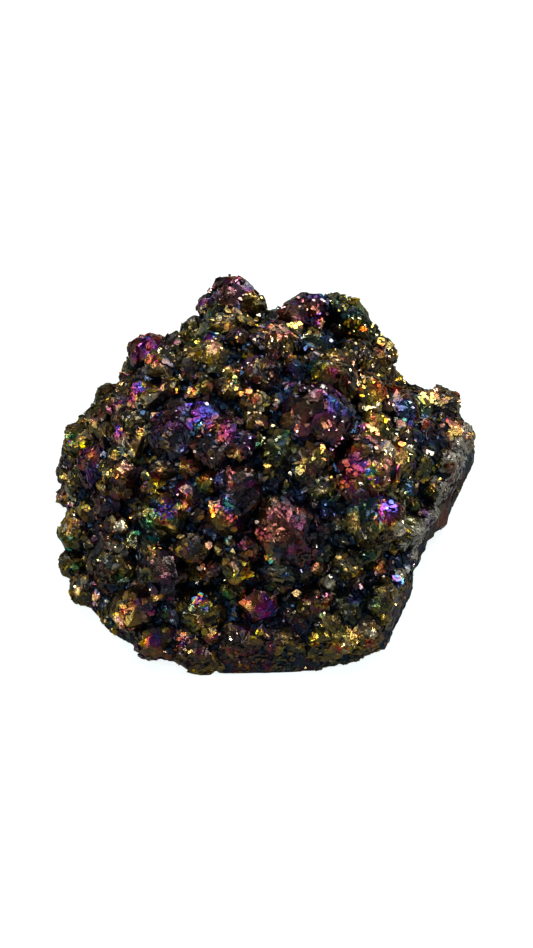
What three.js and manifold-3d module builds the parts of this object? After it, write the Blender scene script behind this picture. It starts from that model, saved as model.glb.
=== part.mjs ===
// Titanium aura quartz cluster: one grown mass, a dome of blunt crystal heads on a
// matrix that is broken off down one side and cut flat where it rests.
// Millimetres, +Z up, the resting face at z = 0, the display side towards -Y.
import * as THREE from "three";
import Module from "manifold-3d";
import { ConvexGeometry } from "three/addons/geometries/ConvexGeometry.js";
import { mergeVertices } from "three/addons/utils/BufferGeometryUtils.js";

// Driving dimensions.
const WIDTH = 110; // X, left to right as displayed; the whole cluster scales with it
const LAYOUT_WIDTH = 110.8; // the lists below are laid out for a cluster this wide,
const LAYOUT_MIDDLE = [-0.28, -3.03]; // whose box has its middle here
const DISPLAY_ELEVATION = THREE.MathUtils.degToRad(55); // the dome is displayed from here
const HEAD_SIDES = 6; // quartz heads are six-sided
const HEAD_GROWTH = 1.12; // heads spread past their listed radius until they crowd each other
const HEAD_ROOT = 1.6; // depth of a head's root below its middle, in head radii
const HEAD_RINGS = [ // a head's corners, in head radii: height and width, each low to high
  { height: [-0.05, 0.15], width: [1, 1] }, // waist
  { height: [0.58, 0.72], width: [0.6, 0.75] }, // shoulder
];
const TIP_OFFSET = 0.18; // how far off the middle a head's point may stand
const TURN_JITTER = 0.14; // unevenness of a head's corners
const WIDTH_JITTER = [0.92, 1.06];
const HEIGHT_JITTER = 0.05;
const POINT_MAX_RADIUS = 3; // heads narrower than this are single pointed crystals
const POINT_HEIGHT = 1.2; // a pointed crystal's tip and root, in its own radii
const POINT_ROOT = 2.5;
const TWIN_MIN_RADIUS = 6.9; // heads this wide have a second crystal grown on their side
const TWIN = { size: 0.68, aside: 0.45, ahead: 0.12 }; // in radii of its head
const SEED = 28;

// The mass under the heads: overlapping lumps, each with its centre, its half-axes to
// the middles of the heads that sit on it, and how deep the gaps between those heads are.
const LUMPS = [
  { name: "main dome", centre: [-3, -1, 0], halfAxes: [45, 44, 52], gap: 2.5 },
  { name: "crown", centre: [2, 14, 14], halfAxes: [27, 20, 31], gap: 2 },
  { name: "front apron", centre: [-1, -26, 0], halfAxes: [45, 27.5, 18], gap: 0 },
  { name: "left flank", centre: [-30, -7, 0], halfAxes: [22, 28, 24], gap: 1.5 },
  { name: "right shelf", centre: [34, 11, 0], halfAxes: [20, 23, 16], gap: 0 },
];

const LUMP_FACETS = [13, 9]; // facets of a lump, round it and from top to bottom

// Flat breaks through the mass: [a point on the break], [its outward normal].
const BREAKS = [
  [[50.5, 0, 0], [0.925, -0.38, 0.02]], // down the right side
  [[0, -54.5, 0], [0.04, -1, 0.1]], // along the front edge
];

// A shell-shaped hollow in the break down the right side: [centre], radius.
const SCOOP = [[64, -29, 4], 25.5];

// Crystal heads of the display side, seen square on from DISPLAY_ELEVATION:
// [across, up, radius], measured from the middle of the resting face.
const DISPLAY_HEADS = [
  // crown
  [-9, 51.5, 7], [-10, 45, 6.5], [-19.5, 44, 3], [-23, 42, 2], [9.5, 47, 6.5],
  [20.5, 48.5, 5], [23.5, 43, 5], [27.5, 37, 6], [2.5, 40, 5.5], [13.5, 40.5, 4],
  // upper left shoulder
  [-30, 38.5, 5.5], [-25.5, 33.5, 5.5], [-23.5, 39.5, 3.5], [-19, 38.5, 2.5],
  [-14, 36.5, 4.5], [-9.5, 33, 2], [-19, 33.5, 3], [-41, 25, 5], [-36.5, 25, 4],
  [-30.5, 26, 5], [-24.5, 29, 2.5], [-19, 28, 2], [-15.5, 29.5, 2.5],
  // middle, above the centre
  [-1, 32, 4.5], [-9, 28.5, 3.5], [-5, 28.5, 1.5], [16.5, 32, 6.5], [12, 21, 9],
  [-3, 24.5, 3.5], [-4, 20, 3.5], [-15.5, 21, 4.5], [-10.5, 15.5, 7], [-22.5, 17.5, 6.5],
  [2.5, 14.5, 5], [10.5, 11, 5.5],
  // right shoulder and shelf
  [25.5, 28, 4.5], [31.5, 29.5, 5], [27.5, 18.5, 4.5], [40, 23.5, 3.5], [46, 25, 5],
  [50.5, 17, 4.5], [38.5, 16, 3], [34, 11.5, 4], [24.5, 8.5, 8.5], [40, 8, 4],
  [47, 8, 5], [43, 3, 4],
  // left flank
  [-33.5, 18, 6.5], [-47.5, 16, 5.5], [-44.5, 12, 3], [-36, 12, 4.5], [-36.5, 6, 6],
  [-25.5, 9, 3.5], [-19.5, 9, 3], [-49.5, 8.5, 5], [-47, 4, 4.5], [-53, 1, 2],
  [-40, 0.5, 5], [-45.5, -2.5, 3.5], [-38, -5.5, 3.5], [-49, -7.5, 5], [-50, -16.5, 3.5],
  // middle, below the centre
  [-7, 4, 6], [-14.5, 4.5, 3], [-19.5, 3, 3], [-9.5, -3, 5], [-26, -3.5, 6],
  [5, -7.5, 8.5], [13.5, 4.5, 4], [-4, -11.5, 3.5], [-18, -11.5, 4.5], [3.5, -16.5, 4.5],
  [-7.5, -16.5, 4.5], [-14.5, -17, 3], [-26, -17, 6.5], [-38, -16.5, 6.5],
  // lower right, by the break
  [47, -4, 3], [27, -3.5, 8], [35.5, -7.5, 4.5], [20.5, -15.5, 4.5], [25, -12, 4],
  [29, -16.5, 2], [34, -20.5, 2.5], [31, -26.5, 5.5], [22, -21, 3], [15.5, -20.5, 3],
  [21, -27.5, 4], [25.5, -34, 4.5],
  // front edge
  [-46.5, -23, 4.5], [-33.5, -27.5, 6], [-29, -36, 5], [-16, -27.5, 6], [-2, -26, 5],
  [11.5, -25.5, 5], [-25.5, -33.5, 2.5], [-20.5, -34, 2.5], [-14, -33.5, 3.5],
  [-17.5, -39.5, 5.5], [-4, -36.5, 6], [5.5, -36.5, 4.5], [15.5, -35.5, 6],
];

// Rows of heads that fill the hidden back: [height above the resting face, radius, count].
const BACK_ROWS = [[6, 6.5, 26], [16, 6.5, 24], [26, 6.5, 21], [36, 6, 17]];
const CROWDING = 0.72; // two heads grow no closer than this share of their radii together
const OBLIQUE_FACING = 0.45; // back heads turn at least this far away from the viewer
const FILLER_RADIUS = 2.9; // small heads that fill the gaps left all round
const FILLER_TRIES = 320;
const FILLER_CROWDING = 0.9;
const ROW_JITTER = { turn: 0.2, height: 2, radius: [0.85, 1.15] };
const LOWEST_SEAT = 0.4; // a head's middle is at least this many radii above the floor

const wasm = await Module();
wasm.setup();

let seedState = SEED;
function random() {
  seedState = (seedState + 0x6d2b79f5) | 0;
  let t = Math.imul(seedState ^ (seedState >>> 15), 1 | seedState);
  t = (t + Math.imul(t ^ (t >>> 7), 61 | t)) ^ t;
  return ((t ^ (t >>> 14)) >>> 0) / 4294967296;
}

function between(low, high) {
  return low + (high - low) * random();
}

function toSolid(geometry) {
  const bare = geometry.clone();
  bare.deleteAttribute("normal");
  bare.deleteAttribute("uv");
  const merged = mergeVertices(bare, 1e-4);
  const mesh = new wasm.Mesh({
    numProp: 3,
    vertProperties: new Float32Array(merged.attributes.position.array),
    triVerts: new Uint32Array(merged.index.array),
  });
  return new wasm.Manifold(mesh);
}

function toGeometry(solid) {
  const mesh = solid.getMesh();
  const geometry = new THREE.BufferGeometry();
  geometry.setAttribute("position", new THREE.BufferAttribute(mesh.vertProperties, 3));
  geometry.setIndex(new THREE.BufferAttribute(mesh.triVerts, 1));
  return geometry;
}

// A faceted ellipsoid, as deep below the heads' middles as the gaps between them are.
function lumpSolid({ centre, halfAxes, gap }) {
  const ball = new THREE.SphereGeometry(1, LUMP_FACETS[0], LUMP_FACETS[1]);
  ball.rotateX(Math.PI / 2);
  ball.scale(halfAxes[0] - gap, halfAxes[1] - gap, halfAxes[2] - gap);
  ball.translate(...centre);
  return toSolid(ball);
}

// A box that covers everything beyond a flat break.
function beyondBreak([point, normal]) {
  const reach = 2 * WIDTH;
  const block = new THREE.BoxGeometry(reach, reach, reach);
  block.translate(0, 0, reach / 2);
  const turn = new THREE.Quaternion().setFromUnitVectors(
    new THREE.Vector3(0, 0, 1),
    new THREE.Vector3(...normal).normalize(),
  );
  block.applyQuaternion(turn);
  block.translate(...point);
  return toSolid(block);
}

function scoopSolid([centre, radius]) {
  const ball = new THREE.SphereGeometry(radius, LUMP_FACETS[0], LUMP_FACETS[1]);
  ball.translate(...centre);
  return toSolid(ball);
}

// The direction in which a lump's surface faces at a point.
function facing({ centre, halfAxes }, point) {
  return new THREE.Vector3(
    (point.x - centre[0]) / halfAxes[0] ** 2,
    (point.y - centre[1]) / halfAxes[1] ** 2,
    (point.z - centre[2]) / halfAxes[2] ** 2,
  ).normalize();
}

// Where a line first meets a lump, coming from far along it, or passes it closest.
function meetLump({ centre, halfAxes }, start, direction) {
  const scale = new THREE.Vector3(1 / halfAxes[0], 1 / halfAxes[1], 1 / halfAxes[2]);
  const from = start.clone().sub(new THREE.Vector3(...centre)).multiply(scale);
  const along = direction.clone().multiply(scale);
  const a = along.dot(along);
  const b = from.dot(along);
  const c = from.dot(from) - 1;
  const inside = b * b - a * c;
  return { distance: (-b + Math.sqrt(Math.max(inside, 0))) / a, miss: Math.max(-inside, 0) };
}

// The place of a head on the mass, on a line through start and no lower than lowest,
// with the way it points.
function seat(start, direction, lowest) {
  let best = null;
  for (const lump of LUMPS) {
    const { distance, miss } = meetLump(lump, start, direction);
    const nearer = best && miss === best.miss && distance > best.distance;
    if (!best || miss < best.miss || nearer) {
      best = { lump, distance, miss };
    }
  }
  const place = start.clone().addScaledVector(direction, best.distance);
  if (place.z < lowest) {
    place.addScaledVector(direction, (lowest - place.z) / direction.z);
  }
  return { place, axis: facing(best.lump, place) };
}

// One blunt crystal head: a root, a six-sided waist and shoulder, and a point.
function headGeometry(radius) {
  const twist = between(0, Math.PI);
  const rings = HEAD_RINGS.map(({ height, width }) => [between(...height), between(...width)]);
  const offset = TIP_OFFSET * radius;
  const points = [
    new THREE.Vector3(0, 0, -HEAD_ROOT * radius),
    new THREE.Vector3(between(-offset, offset), between(-offset, offset), radius),
  ];
  for (const [level, spread] of rings) {
    for (let i = 0; i < HEAD_SIDES; i += 1) {
      const corner = i + between(-TURN_JITTER, TURN_JITTER);
      const angle = twist + (corner / HEAD_SIDES) * 2 * Math.PI;
      const reach = radius * spread * between(...WIDTH_JITTER);
      const height = radius * (level + between(-HEIGHT_JITTER, HEIGHT_JITTER));
      points.push(new THREE.Vector3(reach * Math.cos(angle), reach * Math.sin(angle), height));
    }
  }
  return new ConvexGeometry(points);
}

// A small pointed crystal: a six-sided pyramid over a long root.
function pointGeometry(radius) {
  const points = [
    new THREE.Vector3(0, 0, POINT_HEIGHT * radius),
    new THREE.Vector3(0, 0, -POINT_ROOT * radius),
  ];
  for (let i = 0; i < HEAD_SIDES; i += 1) {
    const angle = (i / HEAD_SIDES) * 2 * Math.PI;
    points.push(new THREE.Vector3(radius * Math.cos(angle), radius * Math.sin(angle), 0));
  }
  return new ConvexGeometry(points);
}

function stand(geometry, place, axis) {
  const turn = new THREE.Quaternion().setFromUnitVectors(new THREE.Vector3(0, 0, 1), axis);
  geometry.applyQuaternion(turn);
  geometry.translate(place.x, place.y, place.z);
  return geometry;
}

// A head: one crystal, or on a wide one two grown side by side the same way up.
function growHead({ place, axis }, radius) {
  if (radius < POINT_MAX_RADIUS) {
    return [toSolid(stand(pointGeometry(radius), place, axis))];
  }
  const solids = [toSolid(stand(headGeometry(radius), place, axis))];
  if (radius < TWIN_MIN_RADIUS) {
    return solids;
  }
  const side = new THREE.Vector3(0, 0, 1).cross(axis).normalize();
  const turn = new THREE.Quaternion().setFromAxisAngle(axis, between(0, 2 * Math.PI));
  const outward = side.applyQuaternion(turn);
  const spot = place.clone()
    .addScaledVector(outward, radius * TWIN.aside)
    .addScaledVector(axis, radius * TWIN.ahead);
  solids.push(toSolid(stand(headGeometry(radius * TWIN.size), spot, axis)));
  return solids;
}

// Heads of the display side, found by looking straight at it.
const towardsViewer = new THREE.Vector3(
  0, -Math.cos(DISPLAY_ELEVATION), Math.sin(DISPLAY_ELEVATION));
const displayUp = new THREE.Vector3(
  0, Math.sin(DISPLAY_ELEVATION), Math.cos(DISPLAY_ELEVATION));
const seats = [];
for (const [across, up, listedRadius] of DISPLAY_HEADS) {
  const radius = listedRadius * HEAD_GROWTH;
  const start = new THREE.Vector3(across, 0, 0).addScaledVector(displayUp, up);
  seats.push({ ...seat(start, towardsViewer, LOWEST_SEAT * radius), radius });
}

// A head on the way outward from the upright axis, unless others crowd it out.
function addHead(angle, rise, start, radius, crowding, mayFace) {
  const outward = new THREE.Vector3(
    Math.cos(angle) * Math.cos(rise), Math.sin(angle) * Math.cos(rise), Math.sin(rise));
  const found = seat(start, outward, 0);
  const crowded = seats.some(
    (other) => other.place.distanceTo(found.place) < crowding * (other.radius + radius));
  if (!crowded && found.axis.dot(towardsViewer) < mayFace) {
    seats.push({ ...found, radius });
  }
}

// Heads of the hidden side, row over row.
for (const [height, radius, count] of BACK_ROWS) {
  for (let i = 0; i < count; i += 1) {
    const place = i + between(-ROW_JITTER.turn, ROW_JITTER.turn);
    const level = height + between(-ROW_JITTER.height, ROW_JITTER.height);
    const start = new THREE.Vector3(0, 0, level);
    const size = radius * between(...ROW_JITTER.radius);
    addHead((place / count) * 2 * Math.PI, 0, start, size, CROWDING, OBLIQUE_FACING);
  }
}

// Small heads wherever a gap is left.
for (let i = 0; i < FILLER_TRIES; i += 1) {
  const start = new THREE.Vector3(0, 0, FILLER_RADIUS);
  const rise = Math.asin(between(0, 1));
  addHead(between(0, 2 * Math.PI), rise, start, FILLER_RADIUS, FILLER_CROWDING, 1);
}

// Everything that grew together becomes one solid, broken off and cut flat below.
let solids = LUMPS.map(lumpSolid);
for (const head of seats) {
  solids = solids.concat(growHead(head, head.radius));
}
let mass = solids.reduce((whole, solid) => whole.add(solid));
for (const breakPlane of BREAKS) {
  mass = mass.subtract(beyondBreak(breakPlane));
}
mass = mass.subtract(scoopSolid(SCOOP));
mass = mass.subtract(beyondBreak([[0, 0, 0], [0, 0, -1]]));

const quartz = new THREE.MeshStandardMaterial({ color: 0x4a3a34, roughness: 0.3, metalness: 0.7 });
const geometry = toGeometry(mass);
geometry.translate(-LAYOUT_MIDDLE[0], -LAYOUT_MIDDLE[1], 0);
geometry.scale(WIDTH / LAYOUT_WIDTH, WIDTH / LAYOUT_WIDTH, WIDTH / LAYOUT_WIDTH);
const cluster = new THREE.Mesh(geometry, quartz);
cluster.name = "quartz_cluster";

const part = new THREE.Group();
part.add(cluster);
export default part;
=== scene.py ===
# %% [markdown]
# # A titanium aura quartz cluster
#
# A lump of rock about as wide as a hand, grown over with blunt quartz heads. Each head is a bundle
# of small crystals that all point nearly the same way, and a metal film a few hundred nanometres
# thick colours them: bronze and olive mostly, with patches of violet, blue, teal and gold.
#
# The scene is in metres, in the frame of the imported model: +Z up, the display side towards -Y.

# %% Load the frame
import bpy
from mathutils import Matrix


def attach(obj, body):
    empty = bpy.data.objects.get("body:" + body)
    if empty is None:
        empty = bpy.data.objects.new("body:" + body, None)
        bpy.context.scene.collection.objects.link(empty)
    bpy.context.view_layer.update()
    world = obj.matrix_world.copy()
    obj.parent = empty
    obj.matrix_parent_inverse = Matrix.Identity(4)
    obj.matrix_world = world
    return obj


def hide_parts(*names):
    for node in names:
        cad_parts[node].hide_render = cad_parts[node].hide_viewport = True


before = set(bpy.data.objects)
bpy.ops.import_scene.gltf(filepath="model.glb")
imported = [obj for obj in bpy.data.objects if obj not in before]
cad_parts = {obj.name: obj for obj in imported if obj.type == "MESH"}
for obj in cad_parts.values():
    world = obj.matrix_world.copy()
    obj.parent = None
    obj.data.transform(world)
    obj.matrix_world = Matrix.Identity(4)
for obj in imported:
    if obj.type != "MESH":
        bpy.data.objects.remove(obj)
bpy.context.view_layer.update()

# %% Modules, and a first helper
import math

import bmesh
import bpy
import numpy as np
from mathutils import Vector
from mathutils.bvhtree import BVHTree
from mathutils.kdtree import KDTree


def add_object(name, data):
    """A new object in the scene, with the data given."""
    thing = bpy.data.objects.new(name, data)
    bpy.context.collection.objects.link(thing)
    return thing


# %% [markdown]
# ## The camera, the floor and the light
#
# The camera comes first, because everything else is judged through it. It looks down on the
# display side at 55 degrees. A long lens from well away keeps the heads at the front from
# swelling, as a close lens would make them.

# %% Camera
MM = 0.001
DISPLAY_ELEVATION = math.radians(55)
TOWARDS_VIEWER = np.array([0, -math.cos(DISPLAY_ELEVATION), math.sin(DISPLAY_ELEVATION)])
DISPLAY_UP = np.array([0, math.sin(DISPLAY_ELEVATION), math.cos(DISPLAY_ELEVATION)])
LOOK_AT = Vector((0.0004, -0.0044, 0.0229))
CAMERA_DISTANCE = 1.5
FRAME_WIDTH = 0.1373

camera_data = bpy.data.cameras.new("camera")
camera_data.sensor_fit = "HORIZONTAL"
camera_data.lens = camera_data.sensor_width * CAMERA_DISTANCE / FRAME_WIDTH
camera = add_object("camera", camera_data)
camera.location = LOOK_AT + Vector(TOWARDS_VIEWER) * CAMERA_DISTANCE
camera.rotation_euler = (math.pi / 2 - DISPLAY_ELEVATION, 0, 0)
bpy.context.scene.camera = camera
print("lens:", round(camera_data.lens, 1), "mm")

# %% [markdown]
# A metal film shows only what it reflects, so most of its look is the room around it. Broad soft
# panels give the sheen, and a few small bright ones give the sparks on single facets. The rest of
# the room is dim, which is why most facets stay dark beside the lit ones.

# %% Light panels
def soft_panel(name, place, size, glow, tint):
    """A round panel that faces the cluster; glow is how bright its surface looks."""
    data = bpy.data.lights.new(name, "AREA")
    data.shape = "DISK"
    data.size = size
    data.energy = glow * math.pi * math.pi * (size / 2) ** 2
    data.color = tint
    panel = add_object(name, data)
    panel.location = place
    aim = LOOK_AT - Vector(place)
    panel.rotation_euler = aim.to_track_quat("-Z", "Y").to_euler()


SPARK = (0.05, 90, (1.0, 0.98, 0.92))
# name: place, width, glow and tint
PANELS = {
    "key": ((0.26, 0.44, 0.42), 0.32, 9.0, (1.0, 0.96, 0.86)),
    "top": ((-0.12, 0.02, 0.60), 0.17, 4.0, (1.0, 0.97, 0.90)),
    "left": ((-0.45, -0.20, 0.30), 0.14, 5.0, (0.95, 0.97, 1.0)),
    "front": ((0.16, -0.50, 0.22), 0.12, 3.0, (1.0, 0.97, 0.92)),
    "spark_right": ((0.42, -0.10, 0.32), *SPARK),
    "spark_front": ((-0.26, -0.40, 0.34), *SPARK),
    "spark_back": ((-0.25, 0.30, 0.42), *SPARK),
    "spark_left": ((-0.50, -0.02, 0.20), *SPARK),
}
for name, (place, size, glow, tint) in PANELS.items():
    soft_panel(name, place, size, glow, tint)
print("light panels:", len(PANELS))

# %% [markdown]
# The room and the finishes are made of nodes. Wiring each of them by hand would take three lines a
# node, so one helper fills in the inputs of a node, with a value or with a link from another node's
# output, and a second one adds the node first.

# %% Wiring nodes
def wire(tree, node, inputs):
    """Gives each input its value, or links it from an output."""
    for name, value in inputs.items():
        if isinstance(value, bpy.types.NodeSocket):
            tree.links.new(value, node.inputs[name])
        else:
            node.inputs[name].default_value = value


def add_node(tree, kind, inputs=None, **settings):
    """Adds a node and returns its outputs."""
    node = tree.nodes.new("ShaderNode" + kind)
    for name, value in settings.items():
        setattr(node, name, value)
    wire(tree, node, inputs or {})
    return node.outputs


def new_material(name):
    material = bpy.data.materials.new(name)
    material.use_nodes = True
    return material, material.node_tree


# %% Room
WHITE = (0.93, 0.99, 0.99, 1)
ROOM_DARK = 0.008
ROOM_BRIGHT = 0.18
BRIGHT_SIDE = Vector((0.45, 0.25, 0.85)).normalized()
BRIGHT_FROM = -0.3
world = bpy.data.worlds.new("room")
bpy.context.scene.world = world
world.use_nodes = True
tree = world.node_tree
way = add_node(tree, "TexCoord")
towards_bright = add_node(
    tree, "VectorMath", {0: way["Generated"], 1: BRIGHT_SIDE}, operation="DOT_PRODUCT")
fade = add_node(tree, "MapRange", {
    "Value": towards_bright["Value"], "From Min": BRIGHT_FROM, "To Min": ROOM_DARK,
    "To Max": ROOM_BRIGHT}, interpolation_type="SMOOTHSTEP")
path = add_node(tree, "LightPath")
strength = add_node(tree, "Mix", {
    "Factor": path["Is Camera Ray"], "A": fade["Result"], "B": 1.0})
wire(tree, tree.nodes["Background"], {"Color": WHITE, "Strength": strength["Result"]})
print("nodes of the room:", len(tree.nodes))

# %% [markdown]
# The floor is white paper. Seen directly it's as bright as the room behind it, but the crystals
# shouldn't mirror a glowing floor, so its glow is kept for the camera's own rays.

# %% Floor
FLOOR_WIDTH = 6.0
FLOOR_GLOW = 0.86
FLOOR_LEVEL = -0.0002
floor_mesh = bmesh.new()
bmesh.ops.create_grid(floor_mesh, x_segments=2, y_segments=2, size=FLOOR_WIDTH / 2)
floor_data = bpy.data.meshes.new("floor")
floor_mesh.to_mesh(floor_data)
floor_mesh.free()
floor = add_object("floor", floor_data)
floor.location = (0, 0, FLOOR_LEVEL)
paper, tree = new_material("white_paper")
path = add_node(tree, "LightPath")
glow = add_node(tree, "Math", {0: path["Is Camera Ray"], 1: FLOOR_GLOW}, operation="MULTIPLY")
wire(tree, tree.nodes["Principled BSDF"], {
    "Base Color": (0.42, 0.44, 0.44, 1), "Roughness": 0.9, "Specular IOR Level": 0.1,
    "Emission Color": WHITE, "Emission Strength": glow["Value"]})
floor_data.materials.append(paper)

bpy.context.scene.view_settings.view_transform = "Standard"

# %% [markdown]
# ## Where the heads stand
#
# The same layout as in the solid: overlapping lumps of rock, with heads seated on them. Each head
# of the display side is listed as seen square on from the camera's side, so it is easy to move one:
# millimetres across, millimetres up, radius, then the tint of its film and how its crystals lie.
# Smooth heads show broad faces, grainy ones many small crystals, plated ones flat scales, and
# fanned ones slim crystals side by side.

# %% The mass
WIDTH = 110
LAYOUT_WIDTH = 110.8
LAYOUT_MIDDLE = np.array([-0.28, -3.03, 0])
TO_METRES = MM * WIDTH / LAYOUT_WIDTH
HEAD_GROWTH = 1.12
LOWEST_SEAT = 0.4

LUMPS = [
    # centre, half-axes, depth of the gaps between heads
    ((-3, -1, 0), (45, 44, 52), 2.5),  # main dome
    ((2, 14, 14), (27, 20, 31), 2),  # crown
    ((-1, -26, 0), (45, 27.5, 18), 0),  # front apron
    ((-30, -7, 0), (22, 28, 24), 1.5),  # left flank
    ((34, 11, 0), (20, 23, 16), 0),  # low shelf on the right
]
BREAKS = [
    # a point of the break, and the way it faces
    ((50.5, 0, 0), (0.925, -0.38, 0.02)),
    ((0, -54.5, 0), (0.04, -1, 0.1)),
]
SCOOP_CENTRE = np.array([64, -29, 4])
SCOOP_RADIUS = 25.5


# %% The heads of the display side
def listed(text):
    """The rows of a list, each of three numbers and then names, with semicolons between them."""
    rows = [row.split() for row in text.split(";")]
    return [(*map(float, row[:3]), *row[3:]) for row in rows]


HEADS = {
    "crown": """
        -9 51.5 7 plum smooth; -10 45 6.5 olive plate; -19.5 44 3 brown grain; -23 42 2 gold grain;
        9.5 47 6.5 magenta smooth; 20.5 48.5 5 olive grain; 23.5 43 5 olive grain;
        27.5 37 6 bronze grain; 2.5 40 5.5 copper grain; 13.5 40.5 4 olive plate""",
    "upper left shoulder": """
        -30 38.5 5.5 rainbow smooth; -25.5 33.5 5.5 brown grain; -23.5 39.5 3.5 brown grain;
        -19 38.5 2.5 gold plate; -14 36.5 4.5 olive plate; -9.5 33 2 gold plate;
        -19 33.5 3 brown grain; -41 25 5 brown grain; -36.5 25 4 magenta grain;
        -30.5 26 5 olive smooth; -24.5 29 2.5 orange grain; -19 28 2 orange plate;
        -15.5 29.5 2.5 olive grain""",
    "middle, above the centre": """
        -1 32 4.5 plum grain; -9 28.5 3.5 copper grain; -5 28.5 1.5 gold plate;
        16.5 32 6.5 bronze grain; 12 21 9 maroon smooth; -3 24.5 3.5 olive grain;
        -4 20 3.5 copper grain; -15.5 21 4.5 violet plate; -10.5 15.5 7 plum grain;
        -22.5 17.5 6.5 plum grain; 2.5 14.5 5 olive grain; 10.5 11 5.5 olive grain""",
    "right shoulder and shelf": """
        25.5 28 4.5 gold grain; 31.5 29.5 5 bronze plate; 27.5 18.5 4.5 gold plate;
        40 23.5 3.5 teal plate; 46 25 5 brown plate; 50.5 17 4.5 orange plate;
        38.5 16 3 olive plate; 34 11.5 4 gold grain; 24.5 8.5 8.5 magenta plate; 40 8 4 olive grain;
        47 8 5 copper grain; 43 3 4 olive grain""",
    "left flank": """
        -33.5 18 6.5 brown grain; -47.5 16 5.5 olive grain; -44.5 12 3 orange smooth;
        -36 12 4.5 olive smooth; -36.5 6 6 copper grain; -25.5 9 3.5 brown grain;
        -19.5 9 3 orange smooth; -49.5 8.5 5 brown grain; -47 4 4.5 orange grain;
        -53 1 2 brown grain; -40 0.5 5 plum grain; -45.5 -2.5 3.5 copper grain;
        -38 -5.5 3.5 brown plate; -49 -7.5 5 olive plate; -50 -16.5 3.5 brown fan""",
    "middle, below the centre": """
        -7 4 6 plum grain; -14.5 4.5 3 gold smooth; -19.5 3 3 violet smooth;
        -9.5 -3 5 rainbow smooth; -26 -3.5 6 olive smooth; 5 -7.5 8.5 maroon smooth;
        13.5 4.5 4 olive grain; -4 -11.5 3.5 maroon grain; -18 -11.5 4.5 brown grain;
        3.5 -16.5 4.5 teal plate; -7.5 -16.5 4.5 olive fan; -14.5 -17 3 copper grain;
        -26 -17 6.5 maroon grain; -38 -16.5 6.5 brown grain""",
    "lower right, by the break": """
        47 -4 3 maroon smooth; 27 -3.5 8 olive plate; 35.5 -7.5 4.5 silver fan;
        20.5 -15.5 4.5 olive grain; 25 -12 4 olive grain; 29 -16.5 2 orange smooth;
        34 -20.5 2.5 silver grain; 31 -26.5 5.5 bronze grain; 22 -21 3 brown grain;
        15.5 -20.5 3 silver grain; 21 -27.5 4 teal grain; 25.5 -34 4.5 bronze grain""",
    "front edge": """
        -46.5 -23 4.5 brown grain; -33.5 -27.5 6 copper smooth; -29 -36 5 plum smooth;
        -16 -27.5 6 brown smooth; -2 -26 5 coral smooth; 11.5 -25.5 5 bronze grain;
        -25.5 -33.5 2.5 gold grain; -20.5 -34 2.5 gold grain; -14 -33.5 3.5 orange smooth;
        -17.5 -39.5 5.5 brown grain; -4 -36.5 6 plum grain; 5.5 -36.5 4.5 brown grain;
        15.5 -35.5 6 olive grain""",
}
listed_heads = [head for text in HEADS.values() for head in listed(text)]
print("listed heads:", len(listed_heads))

# %% [markdown]
# Heads at the back, and small ones that fill the gaps, aren't listed. Dice place them. The dice are
# the same simple ones that the solid uses, so both grow the same heads at the same places.

# %% Dice
BITS = 0xFFFFFFFF


class Dice:
    """Throws that are the same wherever they're worked out, from the same seed."""

    def __init__(self, seed):
        self.state = seed

    def between(self, low, high):
        self.state = (self.state + 0x6D2B79F5) & BITS
        t = self.state
        t = ((t ^ (t >> 15)) * (1 | t)) & BITS
        t = ((t + (((t ^ (t >> 7)) * (61 | t)) & BITS)) & BITS) ^ t
        return low + (high - low) * ((t ^ (t >> 14)) & BITS) / (BITS + 1)


# %% [markdown]
# A line from the viewer, or out from the middle, finds the seat of a head: the place where it meets
# a lump. The head faces the way that the lump faces there, so it stands up out of the rock.

# %% Seats on the lumps
def unit(vectors):
    return vectors / np.linalg.norm(vectors, axis=-1, keepdims=True)


def seat(start, direction, lowest):
    """Where a line first meets the lumps, or passes them closest, and the way they face there."""
    best = None
    for centre, half_axes, gap in LUMPS:
        start_in = (start - np.array(centre)) / half_axes
        along = direction / np.array(half_axes)
        a = along @ along
        b = start_in @ along
        inside = b * b - a * (start_in @ start_in - 1)
        distance = (-b + math.sqrt(max(inside, 0))) / a
        miss = max(-inside, 0)
        nearer = best and miss == best[0] and distance > best[1]
        if not best or miss < best[0] or nearer:
            best = (miss, distance, centre, half_axes)
    place = start + direction * best[1]
    if place[2] < lowest:
        place = place + direction * (lowest - place[2]) / direction[2]
    return place, unit((place - best[2]) / np.array(best[3]) ** 2)


heads = []


def add_head(place, axis, radius, tint, texture):
    heads.append({"place": place, "axis": axis, "radius": radius, "tint": tint, "texture": texture})


def seat_head(across, up, radius, lowest, tint, texture):
    """A head where a line from the viewer meets the mass."""
    start = np.array([across, 0, 0]) + DISPLAY_UP * up
    add_head(*seat(start, TOWARDS_VIEWER, lowest), radius, tint, texture)


for across, up, listed_radius, tint, texture in listed_heads:
    radius = listed_radius * HEAD_GROWTH
    seat_head(across, up, radius, LOWEST_SEAT * radius, tint, texture)

# %% Heads round the back and in the gaps
SEED = 28
BACK_ROWS = [(6, 6.5, 26), (16, 6.5, 24), (26, 6.5, 21), (36, 6, 17)]  # height, radius, count
TURN_STRAY = 0.2
LEVEL_STRAY = 2
SIZE_RANGE = (0.85, 1.15)
CROWDING = 0.72
OBLIQUE_FACING = 0.45
FILLER_RADIUS = 2.9
FILLER_TRIES = 320
FILLER_CROWDING = 0.9
SMOOTH_EVERY = 5
BACK_TINTS = ["brown", "plum", "olive", "bronze", "copper", "teal", "violet", "brown", "maroon"]
dice = Dice(SEED)


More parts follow.
